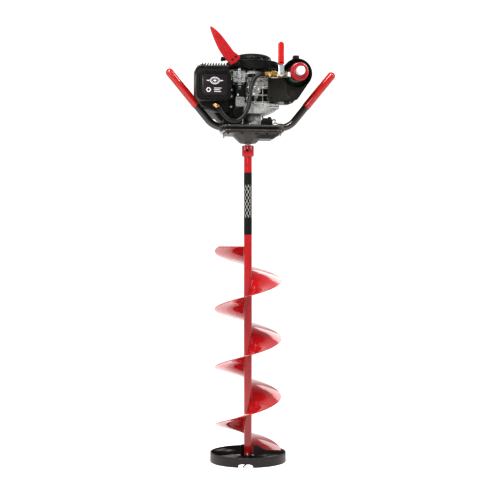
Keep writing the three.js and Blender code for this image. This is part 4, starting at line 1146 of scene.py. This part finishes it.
# ---------------------------------------------------------------- covers
def air_filter():
    x0, x1, y0, y1, z0, z1 = span("filter_cover")
    outer = prism("outer", rectangle(x0, x1, z0, z1, 22, 12), "Y", y0 + 6, y1)
    bevel(outer, 3.5, 4, 40)
    frame_ring = prism("frame", rectangle(x0 + 6, x1 - 6, z0 + 6, z1 - 6, 18, 12), "Y", y0, y0 + 12)
    bevel(frame_ring, 2.6, 4, 40)
    body = join("cover", outer, frame_ring)
    panel_box = (x0 + 19, x1 - 13, z0 + 18, z1 - 15)
    panel = prism("panel", rectangle(*panel_box, 11, 12), "Y", y0 - 5, y0 + 3.4)
    groove = prism("groove", rectangle(x0 + 10, x1 - 7.5, z0 + 9.5, z1 - 8.5, 15, 12), "Y", y0 - 5, y0 + 1.2)
    ridge = prism("ridge", rectangle(x0 + 14, x1 - 10, z0 + 13, z1 - 11.5, 13, 12), "Y", y0 - 6, y0 + 6)
    cut(groove, ridge)
    room = prism("room", rectangle(x0 + 4, x1 - 4, z0 + 4, z1 - 4, 18, 12), "Y", y0 + 8, y1 + 5)
    cut(body, panel, groove, room, crossing=True)
    bevel(body, 0.7, 2, 50)
    body.name = "air_filter_cover"
    piece(body, "power_head", "black_plastic", "filter_cover")
    emblem(*panel_box, y0 + 3.4)

    clips = []
    for x, z in ((x1 + 4, 1362), (x1 + 4, 1322), (x1 + 4, 1300)):
        clips.append(bolt("filter_bolt", "Y", -1, (x, -84, z), 4.4))
    piece(join("filter_bolts", *clips), "power_head", "zinc")
    ear_shapes = [prism("ear", rectangle(x1 - 4, x1 + 12, z - 8, z + 8, 5), "Y", -84, -76)
                  for z in (1362, 1322, 1300)]
    ears = join("filter_ears", *ear_shapes)
    bevel(ears, 0.8, 2)
    piece(ears, "power_head", "black_plastic")
    piece(refined("filter_base", 0.8), "power_head", "black_plastic", "filter_base")


def ellipse(cx, cz, wide, tall, points=48):
    return [(cx + wide * math.cos(2 * math.pi * k / points), cz + tall * math.sin(2 * math.pi * k / points))
            for k in range(points)]


def emblem(x0, x1, z0, z1, face):
    """The cover's sticker: a dark plate with a plain ring, bars and a nut, no lettering."""
    plate_shape = prism("filter_plate", rectangle(x0 + 1.2, x1 - 1.2, z0 + 1.2, z1 - 1.2, 10, 12),
                        "Y", face - 0.9, face + 0.6)
    bevel(plate_shape, 0.3, 2)
    piece(plate_shape, "power_head", "black_plastic", finish="decal_dark")
    cx, cz = (x0 + x1) / 2, z0 + 0.66 * (z1 - z0)
    front = face - 1.3
    ring = prism("ring", ellipse(cx, cz, 17, 13), "Y", front, face)
    core = prism("core", ellipse(cx, cz, 14, 10), "Y", front - 2, face + 2)
    marks = [cut(ring, core)]
    inner_ring = prism("inner_ring", ellipse(cx, cz, 12, 8), "Y", front, face)
    inner_core = prism("inner_core", ellipse(cx, cz, 10.8, 6.8), "Y", front - 2, face + 2)
    marks.append(cut(inner_ring, inner_core))
    marks.append(prism("diamond", [(cx - 7, cz), (cx, cz - 4.5), (cx + 7, cz), (cx, cz + 4.5)],
                       "Y", front, face))
    for side in (-1, 1):
        tip, root = cx + side * 32, cx + side * 19
        wing = [(root, cz - 3), (tip, cz), (root, cz + 3)]
        marks.append(prism("wing", wing if side > 0 else wing[::-1], "Y", front, face))
    low = z0 + 0.24 * (z1 - z0)
    nut = prism("nut", ellipse(cx - 22, low, 9, 9, 6), "Y", front, face)
    eye = prism("eye", ellipse(cx - 22, low, 4.6, 4.6, 24), "Y", front - 2, face + 2)
    marks.append(cut(nut, eye))
    for k, width in enumerate((27, 21, 24)):
        z = low + 6 - 6 * k
        marks.append(block("line", cx - 3, cx - 3 + width, front, face, z - 1.3, z + 1.3))
    piece(join("filter_emblem", *marks), "power_head", "black_plastic", finish="decal_silver")


def shroud():
    piece(refined("engine_shroud", 1.6, 3), "power_head", "black_plastic", "engine_shroud")
    y1, z1 = span("engine_shroud")[3], span("engine_shroud")[5]
    teeth = []
    for k in range(10):
        left = -172 + 9.6 * k
        tooth = prism("louvre", rounded([(left, z1 - 3), (left + 3.2, z1 - 3), (left + 4.6, z1 + 7),
                                         (left + 2, z1 + 7)], 0.8, 3), "Y", -68, 90)
        teeth.append(tooth)
    rack = join("shroud_louvres", *teeth)
    piece(rack, "power_head", "black_plastic")
    # A lighter grey rod along the front top edge: painted highlight where the edge catches the light.
    rim = sweep("shroud_rim_highlight", [(-196, -74.5, 1385), (-193, -74.5, 1397), (-186, -74.5, 1404),
                               (-176, -74.5, 1407), (-78, -74.5, 1407)], 1.8, 12)
    piece(rim, "power_head", "gearcase_paint")
    vent_bars = []
    for k in range(7):
        z = 1300 + 12 * k
        vent_bars.append(prism("bar", rectangle(-156, -90, z, z + 5, 2.2), "Y", y1 - 1, y1))
    grille = join("shroud_rear_bars", *vent_bars)
    piece(grille, "power_head", "black_plastic")
    heads = [screw("shroud_screw", "Y", -1, (-170, -74, 1380), 4.0),
             screw("shroud_screw", "Y", -1, (-104, -74, 1252), 4.0),
             screw("shroud_screw", "Y", 1, (-100, y1 - 2.9, 1256), 4.0),
             screw("shroud_screw", "Y", 1, (-152, y1 - 2.9, 1390), 4.0)]
    piece(join("shroud_screws", *heads), "power_head", "zinc")


def blower():
    low, high = span("blower_housing")[4:]
    x, y = CRANK_X, CRANK_Y
    housing = lathe("blower_shell", [
        (78, low), (91, low), (94, low + 1.5), (95, low + 4), (95, high - 8), (93.5, high - 6.5),
        (93.5, high - 5), (95, high - 3.5), (94.5, high - 1), (92, high), (66, high), (66, high - 4),
        (90, high - 6), (91, low + 4), (78, low + 4), (78, low)], "Z", (x, y, 0), 120)
    ribs = []
    for k in range(24):
        turn = math.radians(15 * k + 7.5)
        rib = prism("rib", [(88, low + 2), (95.6, low + 4), (95.6, high - 9), (88, high - 9)], "Y", -1.2, 1.2)
        about_crank(rib, turn)
        ribs.append(rib)
    body = join("blower_cover", housing, *ribs)
    piece(body, "power_head", "black_plastic", "blower_housing")

    base, top = span("recoil_cover")[4:]
    cover = lathe("recoil", [
        (61, base), (75, base), (75.6, base + 1), (75.6, base + 3.6), (73, base + 5), (69.5, base + 10),
        (68, top - 13), (65, top - 9), (58, top - 5), (50, top - 2.4), (40, top - 1.2), (34, top - 0.9),
        (33, top - 2), (30, top - 2), (29, top - 0.6), (18, top), (0, top), (0, top - 4), (18, top - 4),
        (40, top - 5), (54, top - 8), (61.5, top - 14), (61, base)], "Z", (x, y, 0), 120)
    tools = []
    for k in range(24):
        turn = math.radians(15 * k)
        slot = prism("slot", rectangle(39, 56, -1.7, 1.7, 1.6, 4), "Z", top - 16, top + 6)
        about_crank(slot, turn)
        tools.append(slot)
    for k in range(20):
        turn = math.radians(18 * k + 9)
        gap = block("gap", 58, 80, -3.2, 3.2, base + 7, base + 12)
        about_crank(gap, turn)
        tools.append(gap)
    tools.append(rod("rope_hole", 3.4, "X", -70, -20, y - 32, 1444, 32))
    cut(cover, join("vents", *tools), crossing=True)
    cover.name = "recoil_housing"
    piece(cover, "power_head", "black_plastic", "recoil_cover")
    heads = []
    for k in range(4):
        a = math.radians(-70 + 90 * k)
        place = (x + 71 * math.cos(a), y + 71 * math.sin(a), base + 2.6)
        heads.append(bolt("recoil_bolt", "Z", 1, place, 4.0))
    piece(join("recoil_bolts", *heads), "power_head", "zinc")
    volute = prism("scroll", rounded([(60, -60), (104, -40), (114, 20), (104, 70), (60, 100)], 12),
                   "Z", low - 6, low + 6)
    bevel(volute, 3, 3)
    cut(volute, rod("fan_room", 88, "Z", low - 20, low + 20, x, y, 96))
    piece(volute, "power_head", "black_plastic")


def starter():
    x0, x1, y0, y1, z0, z1 = span("starter_grip")
    mid_y, mid_z = (y0 + y1) / 2, (z0 + z1) / 2
    stem = lathe("stem", [(0, x0 + 3), (6.5, x0 + 3), (6.5, x0 + 14), (4.6, x0 + 18), (4.6, x0 + 22),
                          (6.2, x1 - 2), (6.2, x1), (2.2, x1), (2.2, x1 - 1), (0, x1 - 1)],
                 "X", (0, mid_y, mid_z), 40)
    cross = prism("cross", rectangle(y0, y1, z0, z1, 6), "X", x0, x0 + 10)
    bevel(cross, 2.4, 3)
    piece(join("pull_handle", stem, cross), "starter", "black_plastic", "starter_grip")


def leaf_guard():
    """A thin curved vane, thickest along its middle, with a folded root."""
    y_front, y_back = -82.0, -76.0
    top = span("leaf_guard")[5]
    edge = quadratic((-141, top), (-118, 1532), (-96, 1504), 7)
    edge += quadratic((-96, 1504), (-70, 1470), (-57, 1453), 7)
    edge += [(-44, 1446), (-37, 1437)]
    edge += quadratic((-37, 1437), (-50, 1420), (-71, 1411), 5)
    edge += quadratic((-71, 1411), (-100, 1438), (-117, 1470), 7)
    edge += quadratic((-117, 1470), (-136, 1509), (-145, top - 4), 7)
    edge += quadratic((-145, top - 4), (-145.5, top), (-141, top), 4)[:-1]
    slab = prism("leaf", edge, "Y", y_front + 1.4, y_back)
    bevel(slab, 1.1, 3, 40)
    spine = sweep("spine", [(-50, y_front + 2.6, 1436), (-74, y_front + 2.4, 1442),
                            (-98, y_front + 2.2, 1474), (-118, y_front + 2.2, 1506),
                            (-134, y_front + 2.4, 1530)], 1.5, 12)
    foot = block("foot", -66, -50, -77, -62, 1420, 1434)
    bevel(foot, 1.2, 2)
    piece(join("leaf_vane", slab, spine, foot), "power_head", "red_plastic", "leaf_guard", angle=50)
    heads = [screw("leaf_screw", "Y", -1, (x, y_front + 1.5, z), 3.4) for x, z in ((-66, 1430), (-54, 1440))]
    piece(join("leaf_screws", *heads), "power_head", "dark_screw")


# ---------------------------------------------------------------- fuel
SHROUD_FRONT = -61.0
BOTTLE_X = 171.0
BOTTLE_Z = 1390.0
BOTTLE_RADIUS = 49.0
SHROUD_RADIUS = 53.0
VALVE = (107.0, -74.0, 1382.7)


def bottle():
    r = BOTTLE_RADIUS
    front, back = span("gas_bottle")[2:4]
    dome = [(r - 13 + 13 * math.sin(a), back - 13 + 13 * math.cos(a)) for a in
            [math.radians(10 * k) for k in range(10)]]
    shoulder = [(r, 33), (47, 25), (43, 18), (37.5, 12), (30, 7.5), (22, 5), (16, 4), (16, -2),
                (12, -2), (12, -24)]
    neck = [(rr, front + 24 + h) for rr, h in shoulder]
    profile = [(0, back - 3), (28, back - 3), (31, back), (r - 13, back)] + dome + \
              [(r, back - 40)] + neck + [(3, front), (3, front + 28), (0, front + 28)]
    body = lathe("fuel_bottle", profile, "Y", (BOTTLE_X, 0, BOTTLE_Z), 96)
    # The bottle's colour carries painted shade: darker than its own green.
    piece(body, "bottle", "bottle_paint", "gas_bottle", finish="bottle_paint")
    band = lathe("bottle_band", [(r - 0.3, 66), (r + 0.15, 66.3), (r + 0.15, 104), (r - 0.3, 104.3)],
                 "Y", (BOTTLE_X, 0, BOTTLE_Z), 96)
    piece(band, "bottle", "bottle_paint", finish="bottle_band")


def bottle_shroud():
    inner, outer, front = BOTTLE_RADIUS + 1.3, SHROUD_RADIUS, SHROUD_FRONT
    ring = lathe("ring", [
        (inner, front + 2), (inner + 0.8, front), (outer - 0.8, front), (outer, front + 1.4),
        (outer, front + 8), (outer - 0.8, front + 9),
        (outer - 0.8, 46), (outer, 47), (outer, 55), (outer - 0.6, 56), (inner, 56), (inner, front + 2)],
        "Y", (BOTTLE_X, 0, BOTTLE_Z), 128)
    ribs = []
    for k in range(9):
        a = math.radians(-20 + 22.5 * k)
        rib = block("rib", outer - 1.5, outer, front + 8, 47, -1.1, 1.1)
        rib.data.transform(Matrix.Translation(Vector((BOTTLE_X, 0, BOTTLE_Z)) * MM)
                           @ Matrix.Rotation(-a, 4, "Y"))
        ribs.append(rib)
    web_outline = rounded([(64, 1371), (110, 1371), (BOTTLE_X, BOTTLE_Z), (209, 1353), (171, 1297),
                           (150, 1287), (62, 1287)], [5, 0, 0, 0, 14, 8, 7])
    web = prism("web", web_outline, "Y", front, front + 4.5)
    inset_outline = rounded([(71, 1364), (112, 1364), (126, 1350), (120, 1322), (132, 1294), (70, 1294)], 4)
    inset = prism("inset", inset_outline, "Y", front - 4, front + 1.4)
    room = rod("bottle_room", inner, "Y", -90, 80, BOTTLE_X, BOTTLE_Z, 128)
    web_back = prism("web_back", [(88.5, 1371), (110, 1371), (BOTTLE_X, BOTTLE_Z), (209, 1353),
                                  (171, 1297), (150, 1288), (88.5, 1288)], "Y", 34, 39.5)
    strip_low = prism("strip_low", rectangle(88.5, 150, front + 2, 38, 2), "Z", 1287.2, 1290.6)
    mount = block("mount", 86.5, 89.8, front + 5, 79.5, 1288.4, 1370.6)
    body = join("holder", web, web_back, strip_low, mount)
    cut(body, inset, room, crossing=True)
    stay = sweep("stay", [(100, front + 2, 1366), (112, front + 1.6, 1352), (122, front + 1.6, 1338),
                          (128, front + 1.6, 1318), (140, front + 1.6, 1300)], 2.2, 12)
    tab_top = prism("tab_top", rounded([(BOTTLE_X - 18, 1438), (BOTTLE_X + 6, 1438), (BOTTLE_X + 5, 1453.5),
                                        (BOTTLE_X - 15, 1453.5)], 2.5), "Y", front + 2, front + 16)
    cut(tab_top, rod("bottle_room", inner, "Y", -90, 80, BOTTLE_X, BOTTLE_Z, 96))
    tab_low = prism("tab_low", rounded([(122, 1290), (124, 1278.4), (140, 1278.4), (142, 1290)], 2), "Y",
                    front, front + 14)
    whole = join("bottle_holder", body, ring, stay, tab_top, tab_low, *ribs)
    bevel(whole, 0.6, 2, 45)
    piece(whole, "power_head", "black_plastic", "bottle_shroud", finish="shroud_plastic")
    heads = [screw("holder_screw", "Y", -1, (76, front + 1.4, 1300), 3.6),
             screw("holder_screw", "Y", -1, (76, front + 1.4, 1358), 3.6)]
    piece(join("holder_screws", *heads), "power_head", "dark_screw")


def regulator():
    x, z = BOTTLE_X, BOTTLE_Z
    front = span("regulator_body")[2]
    knob = [(0, front + 0.4), (7, front + 0.2), (12, front + 1), (14.4, front + 3), (15.5, front + 6),
            (15.5, front + 10), (14.4, front + 11.2), (14.4, front + 12.8), (15.5, front + 14),
            (15.5, front + 30), (15.5, front + 49), (21, front + 50), (21, front + 81),
            (20, front + 82), (12.4, front + 82), (12.4, front + 69), (0, front + 69)]
    body = lathe("regulator_knob", knob, "Y", (x, 0, z), 80)
    outlet = rod("outlet", 9, "X", x - 40, x - 14, VALVE[1], VALVE[2], 48, 0.8)
    whole = join("regulator_casting", body, outlet)
    piece(whole, "power_head", "zinc", "regulator_body", finish="knob_zinc")
    face = span("regulator_cap")[2]
    ring = lathe("regulator_ring", [
        (15.8, face + 1.5), (17.5, face), (21, face + 1), (25.5, face + 2), (28.5, face + 1),
        (31, face + 2), (33, face + 5.5), (33, face + 17), (31.5, face + 19.4), (15.8, face + 19.4),
        (15.8, face + 1.5)], "Y", (x, 0, z), 96)
    lobes = [rod("lobe", 1.6, "Y", face + 4, face + 18, x + 31.9 * math.cos(a), z + 31.9 * math.sin(a), 10)
             for a in [math.radians(12 * k) for k in range(30)]]
    piece(join("regulator_red_cap", ring, *lobes), "power_head", "red_plastic", "regulator_cap",
          finish="red_cap")


def valve():
    vx, vy, vz = VALVE
    body = join("ball_valve",
                lathe("barrel", [(0, vx - 15), (10, vx - 15), (10.5, vx - 14.5), (10.5, vx - 9),
                                 (9, vx - 7.5), (10.8, vx - 4), (11.5, vx), (10.8, vx + 4),
                                 (9, vx + 7.5), (9, vx + 9), (0, vx + 9)], "X", (0, vy, vz), 64),
                hexagon("hex", 21, "X", vx + 9, vx + 18.8, vy, vz),
                lathe("gland", [(0, vy - 15), (6.4, vy - 15), (7.5, vy - 14), (7.5, vy), (0, vy)],
                      "Y", (vx, 0, vz), 48))
    piece(body, "power_head", "brass", "valve_body", angle=28)
    x0, x1 = span("union_nut")[:2]
    piece(hexagon("union", 21, "X", x0, x1, vy, vz), "power_head", "zinc", "union_nut", angle=28)
    adapter = join("brass_adapter",
                   hexagon("first", 21, "X", vx - 36, vx - 15.4, vy, vz),
                   lathe("neck", [(0, vx - 43), (8, vx - 43), (9, vx - 42), (9, vx - 37), (8.2, vx - 36.5),
                                  (8.2, vx - 35), (0, vx - 35)], "X", (0, vy, vz), 48),
                   hexagon("second", 19.4, "X", vx - 57.6, vx - 42.2, vy, vz),
                   lathe("groove", [(9.6, vx - 30), (10.7, vx - 30), (10.7, vx - 24), (9.6, vx - 24)],
                         "X", (0, vy, vz), 48))
    piece(adapter, "power_head", "brass", "hose_adapter", angle=28)

    strap = prism("strap", rounded([(vx - 10.8, vz - 10.8), (vx + 8.8, vz - 10.8), (vx + 8.8, vz + 31.8),
                                    (vx - 10.8, vz + 31.8)], [8, 8, 3, 3]), "Y", vy - 20, vy - 15.6)
    bevel(strap, 0.7, 2)
    stem_nut = hexagon("stem_nut", 12, "Y", vy - 25, vy - 19.5, vx, vz)
    tip = rod("tip", 2.6, "Y", vy - 25, vy - 24, vx, vz, 24, 0.5)
    piece(join("valve_strap", strap, stem_nut, tip), "valve_handle", "zinc", "valve_lever", angle=28)
    x0, x1, y0, y1, z0, z1 = span("lever_sleeve")
    sleeve = prism("sleeve", rectangle(x0, x1, z0, z1, 9.6, 10), "Y", y0, y1)
    bevel(sleeve, 3.6, 5, 40)
    piece(sleeve, "valve_handle", "red_vinyl", "lever_sleeve", angle=60)
    collar = prism("sleeve_collar", rectangle(x0, x1, z0, z0 + 9, 2.4), "Y", y0, y1)
    bevel(collar, 1.6, 3)
    piece(collar, "valve_handle", "red_vinyl")


def elbow():
    end = Vector(HOSE_ROUTE[-1])
    before = Vector(HOSE_ROUTE[-2])
    way = (end - before).normalized()
    knee = Vector((-128.6, -101, 1270))
    path = [end + way * 1.0, end + way * 8, knee - way * 1.5, knee + Vector((-0.3, 3.5, 1.0)),
            knee + Vector((0, 9, 0.2)), knee + Vector((0, 24.5, 0))]
    pipe = sweep("elbow_pipe", path, 6.8, 32)
    nut = hexagon("elbow_nut", 15.6, "Y", -94, -84.6, -128.6, 1270)
    flare = hexagon("flare", 15.6, "Z", 0, 8, 0, 0)
    aim(flare, end + way * 1.5, way)
    piece(join("brass_elbow", pipe, nut, flare), "power_head", "brass", "hose_elbow", angle=28)


# ---------------------------------------------------------------- controls
def controls():
    x0, x1, y0, y1, z0 = span("stop_switch")[:5]
    body = prism("switch", rectangle(x0, x1, y0, y1, 4), "Z", z0, 1222)
    bevel(body, 1.4, 3)
    barrel = rod("barrel", 8, "X", x0 + 4, x1 - 2, -41, 1222, 48, 1)
    whole = join("switch_box", body, barrel)
    cut(whole, block("well", 66, 78, -46, -36, 1214, 1240), crossing=True)
    bevel(whole, 0.6, 2, 45)
    piece(whole, "power_head", "black_plastic", "stop_switch")
    piece(refined("stop_button", 1.2, 3), "stop_button", "black_plastic", "stop_button", finish="dark_screw")
    ring = sweep("switch_clamp", [(86 + 7 * math.cos(a), -40, 1217 + 7 * math.sin(a)) for a in
                                  [math.radians(15 * k) for k in range(25)]], 1.6, 12)
    lug = rod("lug", 4, "Y", -44, -34, 97, 1214, 24, 0.6)
    piece(join("switch_clamp_ring", ring, lug), "power_head", "casting", angle=60)
    wire = sweep("switch_wire", [(80, -41, 1221), (88, -40, 1226), (94, -34, 1225), (96, -22, 1218),
                                 (92, -8, 1214), (84, 8, 1212), (76, 22, 1212), (66, 34, 1216),
                                 (62, 40, 1228), (60, 46, 1246)], 2.0, 12)
    piece(wire, "power_head", "hose_rubber")
    base = prism("bracket", rectangle(84, 112, -46, -24, 3), "Z", 1202.2, 1206)
    bevel(base, 0.6, 2)
    piece(base, "power_head", "gearcase_paint")


# ---------------------------------------------------------------- what the CAD shapes keep
def carried_over():
    """Inner pieces keep their CAD shapes and take the same procedural finishes."""
    finishes = {
        "output_gear": "steel", "output_bearing": "steel", "countershaft_gears": "steel",
        "clutch_drum": "steel", "crankshaft": "steel", "flywheel": "casting",
        "connecting_rod": "casting", "piston": "steel", "cylinder": "casting",
        "cylinder_head": "casting", "rocker_cover": "black_plastic", "spark_plug": "ceramic",
        "filter_element": "foam", "muffler": "hot_steel", "recoil_pulley": "black_plastic",
        "starter_rope": "rope",
    }
    for node, finish in finishes.items():
        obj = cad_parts[node]
        if not obj.material_slots:
            obj.data.materials.append(FINISH[finish])
        for holder in obj.material_slots:
            holder.material = FINISH[finish]


stage()
hose()
auger()
blade_guard()
gearcase()
handlebars()
engine_base()
crankcase()
mixer()
engine_internals()
air_filter()
shroud()
blower()
starter()
leaf_guard()
bottle()
bottle_shroud()
regulator()
valve()
elbow()
controls()
carried_over()
